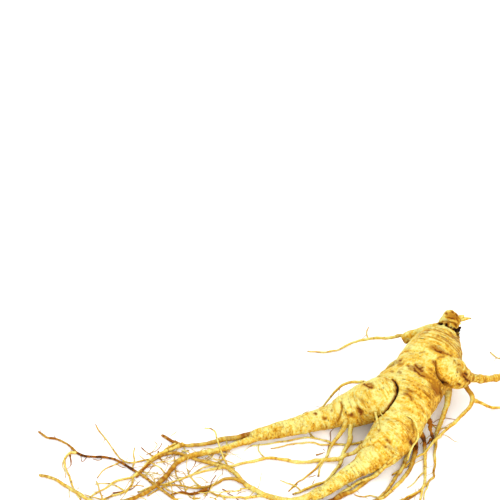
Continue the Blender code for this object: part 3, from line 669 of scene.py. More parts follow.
def lattice(cells, seed):
    """A repeatable value from -1 to 1 for each whole-numbered cell."""
    mixed = (cells * (73856093, 19349663, 83492791)).sum(axis=1) + seed * 7919
    mixed = (mixed ^ (mixed >> 13)) & 0xFFFFFFFF
    mixed = (mixed * 1274126177) & 0xFFFFFFFF
    mixed = mixed ^ (mixed >> 15)
    return (mixed & 0xFFFF) / 32767.5 - 1.0


def noise(points, seed):
    """Smooth values from -1 to 1 at (n, 3) points, with features one unit across."""
    cells = np.floor(points).astype(np.int64)
    part = points - cells
    part = part * part * (3 - 2 * part)
    total = np.zeros(len(points))
    for corner in itertools.product((0, 1), repeat=3):
        weight = np.prod(np.where(corner, part, 1 - part), axis=1)
        total += weight * lattice(cells + np.array(corner), seed)
    return total


def curve_value(a, b, c, d, t):
    """The value a share t of the way from b to c on a smooth curve through all four."""
    straight = 2 * b + (c - a) * t
    return 0.5 * (straight + (2 * a - 5 * b + 4 * c - d) * t ** 2 + (3 * b - a - 3 * c + d) * t ** 3)


def smooth_route(points, spacing):
    """Points about `spacing` apart on a smooth curve through the given ones. Any number of coordinates."""
    ends = [points[0], *points, points[-1]]
    route = []
    for before, start, end, after in zip(ends, ends[1:], ends[2:], ends[3:]):
        steps = max(1, round(math.dist(start[:3], end[:3]) / spacing))
        for step in range(steps):
            values = zip(before, start, end, after)
            route.append(tuple(curve_value(*four, step / steps) for four in values))
    route.append(tuple(points[-1]))
    return route


def shares_along(points):
    """How far along the route each point is, from 0 to 1."""
    lengths = [0.0]
    for start, end in zip(points, points[1:]):
        lengths.append(lengths[-1] + math.dist(start, end))
    return [length / lengths[-1] for length in lengths]


def side_root_route(start_height, landing, start_radius, tip_radius, plan):
    """(x, y, z, radius) along a side root that drops from its start height and then lies on the surface."""
    route = []
    for (x, y), share in zip(plan, shares_along(plan)):
        radius = start_radius + (tip_radius - start_radius) * share ** TAPER_POWER
        hanging = max(0.0, 1.0 - share / landing) ** DROP_POWER
        height = radius + FLOOR_CLEARANCE + (start_height - start_radius) * hanging
        route.append((x, y, height, radius))
    return route


def distance_along(places):
    """How far along the (n, 3) places each one is."""
    return np.concatenate([[0.0], np.cumsum(np.linalg.norm(np.diff(places, axis=0), axis=1))])


def wander(x, y, heading, stride, turns):
    """Places seen from above, each one a turn and a stride on from the last."""
    places = []
    for turn in turns:
        heading += turn
        x += stride * math.cos(heading)
        y += stride * math.sin(heading)
        places.append((x, y))
    return places


def fine_rootlets(parent, draw):
    """Short routes that leave the lying part of a side root to either side."""
    plan = [point[:2] for point in parent]
    length = sum(math.dist(a, b) for a, b in zip(plan, plan[1:]))
    shares = shares_along(plan)
    found = []
    for _ in range(int(length // ROOTLET_SPACING)):
        share = draw.uniform(0.35, 0.95)
        index = max(i for i, s in enumerate(shares[:-1]) if s <= share)
        x, y, z, _ = parent[index]
        heading = math.atan2(parent[index + 1][1] - y, parent[index + 1][0] - x)
        heading += draw.choice((-1, 1)) * math.radians(draw.uniform(*ROOTLET_ANGLE))
        reach = draw.uniform(*ROOTLET_LENGTH)
        turns = [math.radians(draw.uniform(-30, 30)) for _ in range(3)]
        route = [(x, y, z, ROOTLET_RADIUS)]
        for step, place in enumerate(wander(x, y, heading, reach / 3, turns), 1):
            route.append((*place, ROOTLET_RADIUS + FLOOR_CLEARANCE, ROOTLET_RADIUS * (1 - step / 12)))
        found.append(route)
    return found


def vectors(items, field):
    values = np.empty(len(items) * 3)
    items.foreach_get(field, values)
    return values.reshape(-1, 3)


def vertex_places(mesh):
    return vectors(mesh.vertices, "co")


def vertex_normals(mesh):
    return vectors(mesh.vertex_normals, "vector")


def place_vertices(mesh, places):
    mesh.vertices.foreach_set("co", places.ravel())
    mesh.update()


def store(mesh, **layers):
    """Keeps numbers or vectors for each vertex, for the material to read."""
    for name, values in layers.items():
        kind, field = ("FLOAT", "value") if values.ndim == 1 else ("FLOAT_VECTOR", "vector")
        layer = mesh.attributes.new(name, kind, "POINT")
        layer.data.foreach_set(field, values.astype(np.float32).ravel())


def apply_modifier(piece, kind, **settings):
    bpy.context.view_layer.objects.active = piece
    bpy.ops.object.modifier_add(type=kind)
    modifier = piece.modifiers[-1]
    for name, value in settings.items():
        setattr(modifier, name, value)
    bpy.ops.object.modifier_apply(modifier=modifier.name)


def tubes(name, strands, sides):
    """One mesh of closed tubes along strands of (x, y, z, radius, ...) rows in millimetres."""
    deselect()
    bpy.ops.curve.primitive_nurbs_path_add()
    guide = bpy.context.object
    guide.name = name
    curve = guide.data
    curve.splines.clear()
    curve.bevel_depth = MM
    curve.bevel_resolution = (sides - 4) // 2
    curve.use_fill_caps = True
    for strand in strands:
        rows = np.array(strand, dtype=float)
        spline = curve.splines.new("POLY")
        spline.points.add(len(rows) - 1)
        places = np.ones((len(rows), 4))
        places[:, :3] = rows[:, :3] * MM
        spline.points.foreach_set("co", places.ravel())
        spline.points.foreach_set("radius", rows[:, 3].copy())
    bpy.ops.object.convert(target="MESH")
    piece = bpy.context.object
    piece.data.name = name
    bpy.ops.object.mode_set(mode="EDIT")
    bpy.ops.mesh.select_all(action="SELECT")
    bpy.ops.mesh.remove_doubles(threshold=0.005 * MM)
    bpy.ops.mesh.normals_make_consistent(inside=False)
    bpy.ops.object.mode_set(mode="OBJECT")
    return piece


def finish_piece(piece, material, stands_for_node):
    if not piece.data.vertices:
        raise RuntimeError(f"{piece.name} came out empty")
    rest_on_floor(piece.data)
    piece.data.materials.clear()
    piece.data.materials.append(material)
    piece.data.shade_smooth()
    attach(piece, BODY_NAME)
    if stands_for_node:
        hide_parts(NODE)


class MaterialMaker:
    """A new material, and what adds and links its shader nodes."""

    def __init__(self, name):
        self.material = bpy.data.materials.new(name)
        self.material.use_nodes = True
        self.tree = self.material.node_tree
        self.place = self.add("ShaderNodeTexCoord").outputs["Object"]

    def feed(self, socket, value):
        if isinstance(value, bpy.types.NodeSocket):
            self.tree.links.new(value, socket)
        else:
            socket.default_value = value

    def add(self, kind, inputs=(), **settings):
        node = self.tree.nodes.new(kind)
        for name, value in settings.items():
            setattr(node, name, value)
        for name, value in dict(inputs).items():
            self.feed(node.inputs[name], value)
        return node

    def finish(self, inputs):
        """Feeds the material's own shader."""
        shader = self.tree.nodes["Principled BSDF"]
        for name, value in inputs.items():
            self.feed(shader.inputs[name], value)
        return self.material

    def noise(self, vector, size, detail=2.0, roughness=0.5):
        """Noise from 0 to 1 with features of the given size in metres."""
        return self.add(
            "ShaderNodeTexNoise",
            {"Vector": vector, "Scale": 1.0 / size, "Detail": detail, "Roughness": roughness}).outputs["Fac"]

    def stretched(self, vector, along, around):
        """The vector scaled so that features are `along` long down the limb and `around` wide round it."""
        scale = (1.0 / along, 1.0 / around, 1.0 / around)
        return self.add("ShaderNodeMapping", {"Vector": vector, "Scale": scale}).outputs["Vector"]

    def ramp(self, value, low, high, to_low=0.0, to_high=1.0):
        """A smooth change from one value to another as the value goes from low to high."""
        return self.add(
            "ShaderNodeMapRange",
            {"Value": value, "From Min": low, "From Max": high, "To Min": to_low, "To Max": to_high},
            interpolation_type="SMOOTHSTEP").outputs["Result"]

    def math(self, operation, first, second=0.0):
        return self.add("ShaderNodeMath", {0: first, 1: second}, operation=operation).outputs["Value"]

    def plus(self, first, second):
        return self.math("ADD", first, second)

    def times(self, first, second):
        return self.math("MULTIPLY", first, second)

    def sway(self, value, strength):
        """How far the value is from one half, times the strength."""
        return self.times(self.math("SUBTRACT", value, 0.5), strength)

    def blend(self, share, first, second):
        """The first colour with a share of the second over it."""
        node = self.add("ShaderNodeMix", data_type="RGBA", clamp_factor=True)
        sockets = {socket.identifier: socket for socket in (*node.inputs, *node.outputs)}
        self.feed(sockets["Factor_Float"], share)
        for side, colour in (("A_Color", first), ("B_Color", second)):
            linked = isinstance(colour, bpy.types.NodeSocket)
            self.feed(sockets[side], colour if linked else (*colour, 1.0))
        return sockets["Result_Color"]

    def relief(self, height, strength, distance):
        node = self.add("ShaderNodeBump", {"Height": height, "Strength": strength, "Distance": distance})
        return node.outputs["Normal"]

    def attribute(self, name, output="Fac"):
        return self.add("ShaderNodeAttribute", attribute_name=name).outputs[output]


def skin_tones(make, tone, colours):
    """The colour from umber to cream that a tone from 0 to 1 stands for."""
    scale = make.add("ShaderNodeValToRGB", {"Fac": tone})
    stops = scale.color_ramp.elements
    for stop, name in ((stops[0], "umber"), (stops[1], "cream")):
        stop.position = TONE_STOPS[name]
        stop.color = (*getattr(colours, name), 1.0)
    for name in ("amber", "straw"):
        stops.new(TONE_STOPS[name]).color = (*getattr(colours, name), 1.0)
    return scale.outputs["Color"]


def flecks(make, where, scale, sizes, share, fine):
    """Dark dots in a share of the cells, 1 in the middle of each."""
    dots = make.add("ShaderNodeTexVoronoi", {"Vector": where, "Scale": scale, "Randomness": 1.0})
    chosen = make.add("ShaderNodeSeparateColor", {"Color": dots.outputs["Color"]})
    wanted = make.ramp(chosen.outputs["Red"], 1.0 - share, 1.0 - share * 0.7)
    size = make.ramp(chosen.outputs["Green"], 0.0, 1.0, *sizes)
    dot = make.ramp(make.math("SUBTRACT", dots.outputs["Distance"], size), 0.0, 0.09, 1.0, 0.0)
    return make.times(make.times(dot, wanted), make.ramp(fine, 0.30, 0.55))


def skin_material(name, colours, line_size, line_width, mottle_size, speck_size, speck_share, bump):
    """Root skin: cream to umber by the stored tone, which carries painted light and shade, with rings,
    blotches, flecks, scars, soil, painted crease shade and painted highlights on rims.
    """
    make = MaterialMaker(name)
    place = make.place
    grain = make.attribute("grain", "Vector")
    ringed, tone, stain, dirt = (make.attribute(each) for each in ("ringed", "tone", "stain", "dirt"))

    mottle = make.noise(place, mottle_size, detail=4.0, roughness=0.6)
    fine = make.noise(place, mottle_size / 5, detail=3.0, roughness=0.65)
    bands = make.noise(make.stretched(grain, line_size * 1.7, line_width * 1.2), 1.0)
    bands = make.plus(make.sway(bands, ringed), 0.5)
    for layer, strength in ((mottle, MOTTLE_STRENGTH), (fine, FINE_STRENGTH), (bands, BAND_STRENGTH)):
        tone = make.plus(tone, make.sway(layer, strength))
    colour = skin_tones(make, tone, colours)
    blotch = make.ramp(make.noise(place, mottle_size * 0.4, detail=5.0, roughness=0.62), 0.54, 0.70)
    colour = make.blend(make.times(blotch, BLOTCH_STRENGTH), colour, colours.amber)

    lines_at = make.noise(make.stretched(grain, line_size, line_width), 1.0, roughness=0.55)
    off_line = make.math("SUBTRACT", lines_at, 0.5)
    broken = make.ramp(make.noise(place, mottle_size * 0.6), 0.36, 0.60)
    lines = make.ramp(make.math("ABSOLUTE", off_line), 0.0, 0.045, 1.0, 0.0)
    lines = make.times(lines, make.times(ringed, broken))
    # Painted highlight: cream rims beside each dark line, which the bump also raises a little
    highlight_rims = make.times(make.ramp(off_line, 0.03, 0.07), make.ramp(off_line, 0.07, 0.13, 1.0, 0.0))
    colour = make.blend(make.times(highlight_rims, make.times(ringed, RIM_HIGHLIGHT_STRENGTH)), colour, colours.cream)
    colour = make.blend(make.times(lines, LINE_STRENGTH), colour, colours.rust)

    long_cells = make.stretched(grain, speck_size * 0.8, speck_size * 1.7)
    for cells, scale, sizes in ((long_cells, 1.0, LONG_FLECKS), (place, 1.0 / speck_size, ROUND_FLECKS)):
        dots = flecks(make, cells, scale, sizes, speck_share, fine)
        colour = make.blend(make.times(dots, FLECK_STRENGTH), colour, colours.bark)

    # Stains, scars and the painted shade along cracks turn the skin umber, rust and bark
    stain_and_shade_level = make.plus(stain, make.sway(fine, 0.7))
    touched = make.ramp(stain, 0.0, 0.15)
    for stain_shade_colour, low, high, strength in WEAR_AND_CREASE_SHADE:
        share = make.times(make.ramp(stain_and_shade_level, low, high), touched)
        colour = make.blend(make.times(share, strength), colour, getattr(colours, stain_shade_colour))
    # Clinging soil, and near-black painted shade at the bottom of cracks
    dirty = make.ramp(make.plus(dirt, make.sway(fine, 0.5)), 0.25, 0.65)
    colour = make.blend(make.times(dirty, make.ramp(dirt, 0.0, 0.1)), colour, colours.soil)

    height = make.plus(make.times(fine, 0.7), make.noise(place, mottle_size / 16))
    height = make.math("SUBTRACT", height, make.times(lines, 0.9))
    height = make.plus(height, make.times(highlight_rims, 0.4))
    return make.finish({
        "Base Color": colour, "Roughness": make.ramp(mottle, 0.2, 0.8, 0.42, 0.62),
        "Normal": make.relief(height, 0.7, bump), "Subsurface Weight": 0.03,
        "Subsurface Radius": (1.0, 0.45, 0.15), "Subsurface Scale": 1.0 * MM, "Specular IOR Level": 0.05})


def skin_for(name, colours):
    """The skin of the flesh, the side roots or the hairs, made once."""
    return bpy.data.materials.get(name) or skin_material(name, colours, **SKINS[name])


def soil_material(colours):
    """Damp dark soil, crumbly and nearly black."""
    make = MaterialMaker("damp_soil")
    grit = make.noise(make.place, 0.5 * MM, detail=4.0, roughness=0.7)
    return make.finish({
        "Base Color": make.blend(make.ramp(grit, 0.45, 0.75), colours.soil, colours.bark),
        "Roughness": make.ramp(grit, 0.2, 0.8, 0.7, 0.95), "Normal": make.relief(grit, 0.9, 0.3 * MM),
        "Specular IOR Level": 0.05})


def painted_light_tone(normals, points):
    """Painted light and shade in the skin's tone: palest where it faces the light, painted amber and umber
    shade below, with a little random tone.
    """
    side = np.array(PAINTED_LIGHT_SIDE) / np.linalg.norm(PAINTED_LIGHT_SIDE)
    facing = normals @ side
    lit = 0.46 + 0.42 * np.maximum(facing, 0.0) + 0.05 * np.minimum(facing, 0.0)
    return lit + 0.10 * noise(points / 9, 31)


def limb_frame(limb):
    """Places, radii, headings, distance along, sideways and upward directions down one limb."""
    route = np.array(smooth_route(limb, GRAIN_SPACING))
    places, radii = route[:, :3], route[:, 3]
    headings = np.gradient(places, axis=0)
    headings /= np.linalg.norm(headings, axis=1, keepdims=True)
    along = distance_along(places)
    sideways = np.cross(headings, UP)
    sideways /= np.linalg.norm(sideways, axis=1, keepdims=True)
    return places, radii, headings, along, sideways, np.cross(sideways, headings)


def limb_grain(points):
    """For each point: its limb, how far down it is, a grain vector, and how close the next limb comes."""
    gaps = []
    grains = []
    for number, limb in enumerate(WRINKLED_LIMBS):
        places, radii, headings, along, sideways, lift = limb_frame(limb)
        squares = (points ** 2).sum(1)[:, None] + (places ** 2).sum(1)[None] - 2 * points @ places.T
        gap = np.sqrt(np.maximum(squares, 0.0)) - radii
        nearest = gap.argmin(axis=1)
        own = points - places[nearest]
        down = along[nearest] + (own * headings[nearest]).sum(1)
        across = (own * sideways[nearest]).sum(1)
        above = (own * lift[nearest]).sum(1)
        out = np.maximum(np.hypot(across, above), 0.5)
        gaps.append(gap.min(axis=1))
        grains.append(np.stack(
            [down + number * LIMB_APART, GRAIN_RADIUS * across / out, GRAIN_RADIUS * above / out], 1))
    gaps = np.array(gaps)
    limbs = gaps.argmin(axis=0)
    sorted_gaps = np.sort(gaps, axis=0)
    grain = np.array(grains)[limbs, np.arange(len(points))]
    return limbs, grain[:, 0] - limbs * LIMB_APART, grain, sorted_gaps[1] - sorted_gaps[0]


def grooves(grain, along, around, seed, sharpness):
    """0 on the skin and 1 at the bottom of narrow broken grooves that run round a limb."""
    field = noise(grain / (along, around, around), seed)
    return (1 - np.abs(field)) ** sharpness


def nearest_on(points, route, reach):
    """How far each point is from a smooth route, at most `reach`, and the route's row nearest to it."""
    line = np.array(smooth_route(route, FOLD_SPACING))
    distance = np.full(len(points), float(reach))
    rows = np.repeat(line[:1], len(points), axis=0)
    low, high = line[:, :3].min(axis=0) - reach, line[:, :3].max(axis=0) + reach
    close = np.nonzero(((points > low) & (points < high)).all(axis=1))[0]
    if len(close):
        gaps = np.linalg.norm(points[close, None] - line[None, :, :3], axis=2)
        nearest = gaps.argmin(axis=1)
        distance[close] = np.minimum(gaps.min(axis=1), reach)
        rows[close] = line[nearest]
    return distance, rows


def dent(share):
    """1 in the middle and 0 at a share of 1 or more, smooth at both ends."""
    return (1 - np.clip(share, 0.0, 1.0) ** 2) ** 2


def collar(height, ring_radius, thickness):
    """A closed ring round the neck, a little uneven."""
    foot, top = Vector(NECK_FOOT), Vector(NECK_TOP)
    axis = (top - foot).normalized()
    turn = axis.to_track_quat("Z", "Y").to_matrix()
    middle = foot.lerp(top, height)
    ring = []
    steps = 40
    for step in range(steps + 2):
        angle = 2 * math.pi * step / steps
        reach = ring_radius * (1 + 0.05 * math.sin(3 * angle + 9 * height) + 0.03 * math.sin(7 * angle))
        lift = 0.5 * math.sin(2 * angle + 5 * height)
        point = middle + turn @ Vector((reach * math.cos(angle), reach * math.sin(angle), lift))
        ring.append((*point, thickness * (1 + 0.2 * math.sin(5 * angle + 3 * height))))
    return ring


def lifted_route(name):
    """The route of a side root, with its own heights where it leaves the front of a leg."""
    replaced, start = RAISED_STARTS.get(name, (0, []))
    return start + side_root_route(*SIDE_ROOTS[name])[replaced:]


def flare(name, root):
    """The swollen foot of a thick side root, from inside the flesh to inside the root."""
    route = np.array(smooth_route(lifted_route(name), LIMB_SPACING))
    reach = FLARE_LENGTH * root[2]
    lengths = distance_along(route[:, :3])
    route = route[lengths <= reach]
    wide, narrow = TAIL_FLARE_WIDTH if name in TAILS else FLARE_WIDTH
    share = lengths[: len(route)] / reach
    route[:, 3] *= wide + (narrow - wide) * share ** 0.7
    return route


def model_flesh(sizes):
    """Body, legs, arm, neck and the feet of the side roots, melted into one skin."""
    routes = [smooth_route(limb, LIMB_SPACING) for limb in LIMBS]
    routes += [collar(*ring) for ring in COLLARS]
    routes += [[(x, y, z - size, size * 0.7), (x, y, z, size), (x, y, z + size * 0.6, size * 0.5)]
               for x, y, z, size in LOBES]
    routes += [flare(name, root) for name, root in SIDE_ROOTS.items() if root[2] >= FLARE_FROM_RADIUS]
    flesh = tubes("ginseng_flesh", routes, 20)
    apply_modifier(flesh, "REMESH", mode="VOXEL", voxel_size=sizes.skin_grain)
    apply_modifier(flesh, "SMOOTH", factor=0.5, iterations=sizes.skin_smoothing)
    return flesh


def skin_relief(points, sizes):
    """Lumps, rings and wrinkles: how far the skin moves outwards, and what the material reads of them."""
    limbs, down, grain, apart = limb_grain(points)
    clear = smoothstep(apart, 0.4, 3.0)
    spine = limbs == 0
    shoulder = np.where(spine, 1 - smoothstep(down, SHOULDER_REACH * 0.55, SHOULDER_REACH), 0.0)
    lump, ring, wrinkle = (value / MM for value in (sizes.lump_height, sizes.ring_depth, sizes.wrinkle_depth))
    patchy = 0.6 + 0.4 * noise(points / 8, 5)
    out = lump * (noise(points / 15, 3) + 0.5 * noise(points / 6, 4) + 0.25 * noise(points / 2.6, 12))
    rings = grooves(grain, 2.2, 12.0, 6, 6) * ring * shoulder
    wrinkles = grooves(grain, 3.4, 9.0, 7, 7) * wrinkle * (1 - 0.7 * shoulder) * patchy
    bands = noise(grain / (2.4, 13.0, 13.0), 8) * 0.4 * wrinkle
    streaks = noise(grain / (1.7, 8.0, 8.0), 14) * (0.5 + 0.5 * shoulder)
    streaks = streaks + 0.5 * noise(grain / (1.3, 3.0, 3.0), 15)
    ringed = np.clip(0.55 + 0.55 * shoulder + 0.35 * noise(points / 10, 9), 0.15, 1.0) * (0.4 + 0.6 * clear)
    furrow = np.maximum(grooves(grain, 2.2, 12.0, 6, 9) * shoulder, grooves(grain, 3.4, 9.0, 7, 10) * patchy)
    out += (bands + 0.3 * ring * streaks - rings - wrinkles) * clear
    return out, grain, ringed, furrow * clear, streaks * clear


def carve_skin(mesh, sizes):
    """Presses the relief, cracks, rims and scars into the flesh and stores what its colour depends on."""
    normals = vertex_normals(mesh)
    points = vertex_places(mesh) / MM
    out, grain, ringed, furrow, streaks = skin_relief(points, sizes)
    # Painted light and shade in the tone: paler toward the light, painted shade in the grooves, painted
    # highlight on the raised streaks
    tone = painted_light_tone(normals, points) - 0.34 * furrow + 0.20 * streaks
    # Brown in the grooves: partly dirt, partly painted shade
    stain = 0.34 * furrow * smoothstep(noise(points / 5, 61), -0.5, 0.4)
    dirt = np.zeros(len(points))
    stray = np.stack([noise(points / 1.3, seed) for seed in (51, 52, 53)], 1)
    for width, depth, darkness, route in CRACKS.values():
        distance, rows = nearest_on(points, route, CRACK_REACH)
        out -= depth * dent(distance / width) * smoothstep(rows[:, 3], 0.1, 0.4)
        distance, rows = nearest_on(points + CRACK_STRAY * stray, route, CRACK_REACH)
        half = rows[:, 3]
        out -= CRACK_SLOPE * half * dent(distance / (half + 0.7))
        # The dark core of a crack: painted shade in the crease, and along the neck the clinging soil
        dirt = np.maximum(dirt, darkness * (1 - smoothstep(distance, half * 0.6, half + 0.5)))
        # Brown along the crack: painted shade in the crease
        stain_and_shade_level = (0.35 + 0.6 * darkness) * (1 - smoothstep(distance, half * 0.8, half + 0.9))
        stain = np.maximum(stain, stain_and_shade_level)
        # Painted shade darkens the skin beside each crack
        tone -= (0.08 + 0.16 * darkness) * (1 - smoothstep(distance, half, half + 2.6))
    for width, height, paleness, route in RIDGES.values():
        distance, _ = nearest_on(points, route, width)
        raised = dent(distance / width)
        out += height * raised
        # Painted highlight along the raised rims and lips
        tone += paleness * raised * (distance < width)
    for width, amount, route in SCARS:
        distance, _ = nearest_on(points + SCAR_STRAY * stray, route, width + 2.4)
        out -= 0.7 * min(width, 0.8) * amount * dent(distance / (width + 0.6))
        stain = np.maximum(stain, amount * (1 - smoothstep(distance, width * 0.6, width + 0.7)))
        stain = np.maximum(stain, 0.3 * amount * (1 - smoothstep(distance, width, width + 2.2)))
    # Painted shade and painted light in broad patches, partly the skin's own paler and darker colour
    for middle, reach, change in TONE_AND_SHADE_PATCHES:
        gap = np.linalg.norm(points + PATCH_STRAY * stray - middle, axis=1)
        tone += change * np.exp(-(gap / reach) ** 2)
    place_vertices(mesh, (points + normals * out[:, None]) * MM)
    store(mesh, grain=grain * MM, tone=np.clip(tone, 0.0, 1.0), ringed=ringed, stain=stain, dirt=dirt)


def rest_on_floor(mesh):
    """Flattens whatever reaches below the floor."""
    places = vertex_places(mesh)
    places[:, 2] = np.maximum(places[:, 2], 0.0)
    place_vertices(mesh, places)


def strand(route, seed, spacing, wobble, tone, stain, knots=0.13, foot=0.0):
    """A living version of a route, in rows of (x, y, z, radius, along, tone, stain): it strays and swells."""
    rows = np.array(smooth_route(route, spacing))
    places, radii = rows[:, :3], rows[:, 3]
    along = distance_along(places)
    shift = np.stack([along, np.full(len(rows), seed * 3.7), np.zeros(len(rows))], 1)
    fade = smoothstep(along, 0.0, 8.0)
    for axis in (0, 1):
        sway = noise(shift / 8, seed + axis) + 0.4 * noise(shift / 2.9, seed + axis + 9)
        places[:, axis] += fade * wobble * sway
    places[:, 2] += fade * wobble * 0.5 * np.maximum(0.0, noise(shift / 11, seed + 5))
    beads = noise(shift / 1.0, seed + 3)
    radii *= 1 + knots * (noise(shift / 3.2, seed + 2) + 0.6 * beads)
    radii[-1] *= 0.35
    radii[-2] *= 0.75
    tones = tone + 0.20 * noise(shift / 9, seed + 4) + 0.10 * beads
    stains = stain * (0.75 + 0.45 * noise(shift / 6, seed + 7))
    at_knots = 0.42 * smoothstep(noise(shift / 1.2, seed + 6), 0.55, 0.8)
    at_foot = foot * (1 - smoothstep(along, *FOOT_STAIN_REACH))
    at_tip = 0.6 * (1 - smoothstep(along[-1] - along, 0.0, 2.0))
    for more in (at_knots, at_foot, at_tip):
        stains = np.maximum(stains, more)
    return np.column_stack(
        [places, radii, along + seed * STRAND_APART, tones, np.clip(stains, 0.0, 1.0)])


def shares_of(rows):
    """How far along its strand each row is, from 0 to 1."""
    return (rows[:, 4] - rows[0, 4]) / (rows[-1, 4] - rows[0, 4])


def colour_strands(piece, strands, ringed):
    """Hands each vertex the tone, stain and grain of the strand that it lies on."""
    rows = np.concatenate(strands)
    tree = KDTree(len(rows))
    for index, row in enumerate(rows):
        tree.insert(row[:3] * MM, index)
    tree.balance()
    mesh = piece.data
    places = vertex_places(mesh)
    owner = np.zeros(len(places), dtype=int)
    for index, place in enumerate(places):
        found = tree.find_n(place, 6)
        owner[index] = min(found, key=lambda hit: abs(hit[2] / MM - rows[hit[1], 3]))[1]
    own = rows[owner]
    out = places / MM - own[:, :3]
    out /= np.maximum(np.linalg.norm(out, axis=1, keepdims=True), 0.01)
    grain = np.stack([own[:, 4], GRAIN_RADIUS * out[:, 0], GRAIN_RADIUS * out[:, 2]], 1)
    # Painted light and shade: side roots are paler where they face the light and amber to umber on the sides
    # that face away
    lit = painted_light_tone(vertex_normals(mesh), places / MM) - 0.5
    store(
        mesh, grain=grain * MM, tone=np.clip(own[:, 5] - 0.1 + 1.3 * lit - 0.25 * own[:, 6], 0.0, 0.82),
        stain=own[:, 6], ringed=ringed * (0.6 + 0.9 * smoothstep(own[:, 3], 1.0, 3.0)),
        dirt=np.maximum(0.0, (own[:, 6] - 0.85) * 1.8))


def strand_piece(name, strands, sides, ringed, skin, stands_for_node):
    """One piece of strands that have their own tones and stains."""
    piece = tubes(name, strands, sides)
    colour_strands(piece, strands, ringed)
    finish_piece(piece, skin, stands_for_node)


def side_root_strands(sizes):
    """The strands of the side roots and of the fine rootlets that leave them, as two lists."""
    draw = random.Random(ROOTLET_SEED)
    wobble = sizes.root_wobble / MM
    thick = []
    fine = []
    for number, name in enumerate(SIDE_ROOTS):
        route = lifted_route(name)
        tone = 0.64 if name in PALE_ROOTS else 0.52
        stain = DARK_ROOTS.get(name, USUAL_STAIN)
        foot = STAINED_FEET.get(name, 0.0)
        knots = BEADED_ROOTS.get(name, 0.15)
        rows = strand(route, number + 1, STRAND_SPACING, wobble, tone, stain, knots, foot)
        if name in STAIN_ALONG:
            darker = np.interp(shares_of(rows), *zip(*STAIN_ALONG[name]))
            patchy = 0.5 + 0.6 * smoothstep(noise(rows[:, :3] / 1.1, 71), -0.2, 0.35)
            rows[:, 6] = np.clip(darker * patchy, 0.0, 1.0)
        thick.append(rows)
        for rootlet in fine_rootlets(route, draw):
            seed = number + ROOTLET_SEEDS + len(fine)
            fine.append(strand(rootlet, seed, HAIR_SPACING, wobble, tone, stain))
    return thick, fine


def seeded_hairs(parents, count, radius):
    """Short hairs that leave the side roots at random and lie on the floor."""
    draw = random.Random(HAIR_SEED)
    weights = [len(parent) for parent in parents]
    found = []
    for _ in range(count):
        parent = draw.choices(parents, weights)[0]
        x, y, z = parent[draw.randrange(len(parent) // 3, len(parent) - 1)][:3]
        heading = draw.uniform(0, 2 * math.pi)
        reach = draw.uniform(*HAIR_REACH)
        turns = [draw.uniform(-HAIR_TURN, HAIR_TURN) for _ in range(3)]
        route = [(x, y, z, radius)]
        for step, place in enumerate(wander(x, y, heading, reach / 3, turns), 1):
            z = max(radius + 0.1, z * 0.45)
            route.append((*place, z, radius * (1 - 0.2 * step)))
        found.append(route)
    return found


def thread_strands():
    """Thin roots that cross the tangle at random, mostly along it."""
    draw = random.Random(THREAD_SEED)
    strands = []
    for number in range(THREAD_COUNT):
        x, y = (draw.uniform(*span) for span in THREAD_GROUND)
        heading = draw.choice((0, math.pi)) + draw.gauss(0, 0.5)
        size = draw.uniform(*THREAD_RADIUS)
        reach = draw.uniform(*THREAD_LENGTH)
        lift = draw.uniform(*THREAD_LIFT)
        turns = [draw.gauss(0, 0.35) for _ in range(THREAD_STRIDES + 1)]
        route = []
        for step, place in enumerate(
                [(x, y), *wander(x, y, heading, reach / THREAD_STRIDES, turns[:THREAD_STRIDES])]):
            height = size + 0.1 + lift * math.sin(math.pi * step / THREAD_STRIDES)
            route.append((*place, height, size * (1 - 0.12 * step)))
        stain = draw.choice(THREAD_STAINS)
        tone = draw.uniform(0.5, 0.75)
        strands.append(strand(route, THREAD_SEEDS + number, HAIR_SPACING, 0.4, tone, stain, knots=0.25))
    return strands


def tapering(route, size, taper):
    """(x, y, z, radius) along a route that loses a share of its radius by its end."""
    return [(*place, size * (1 - taper * share)) for place, share in zip(route, shares_along(route))]


def hair_strands(parents, sizes):
    """All the fine strands: threads, drawn and raised hairs, torn stubs, dark bits and seeded hairs."""
    radius = sizes.hair_radius / MM
    strands = thread_strands()
    for number, (name, plan) in enumerate(HAIRS.items(), HAIR_SEEDS):
        brown = name in BROWN_HAIRS
        size = radius * (1.25 if brown else 1.1)
        route = [(x, y, size + 0.1, size) for x, y in plan]
        strands.append(strand(route, number, HAIR_SPACING, 0.3, 0.5, 0.6 if brown else 0.05))
    for number, (size, route) in enumerate(RAISED_HAIRS.values(), RAISED_SEEDS):
        rows = [(x, y, z, size) for x, y, z in route]
        strands.append(strand(rows, number, HAIR_SPACING, 0.12, 1.0, 0.0, knots=0.06))
    for number, (size, route) in enumerate(TORN_STUBS, STUB_SEEDS):
        strands.append(strand(tapering(route, size, 0.5), number, 0.5, 0.8, 0.1, 1.15, knots=0.6))
    for number, plan in enumerate(DARK_BITS.values(), DARK_BIT_SEEDS):
        route = tapering([(x, y, 0.6) for x, y in plan], DARK_BIT_RADIUS, 0.6)
        strands.append(strand(route, number, HAIR_SPACING, 0.3, 0.4, 0.72, knots=0.3))
    for number, route in enumerate(seeded_hairs(parents, sizes.hair_count, radius)):
        stain = 0.3 * (number % 3)
        strands.append(strand(route, SHORT_HAIR_SEEDS + number, HAIR_SPACING, 0.25, 0.55, stain))
    return strands


def crumb_master():
    """One crumb of soil, a ball of unit radius."""
    deselect()
    bpy.ops.mesh.primitive_ico_sphere_add(subdivisions=2, radius=1.0)
    return bpy.context.object


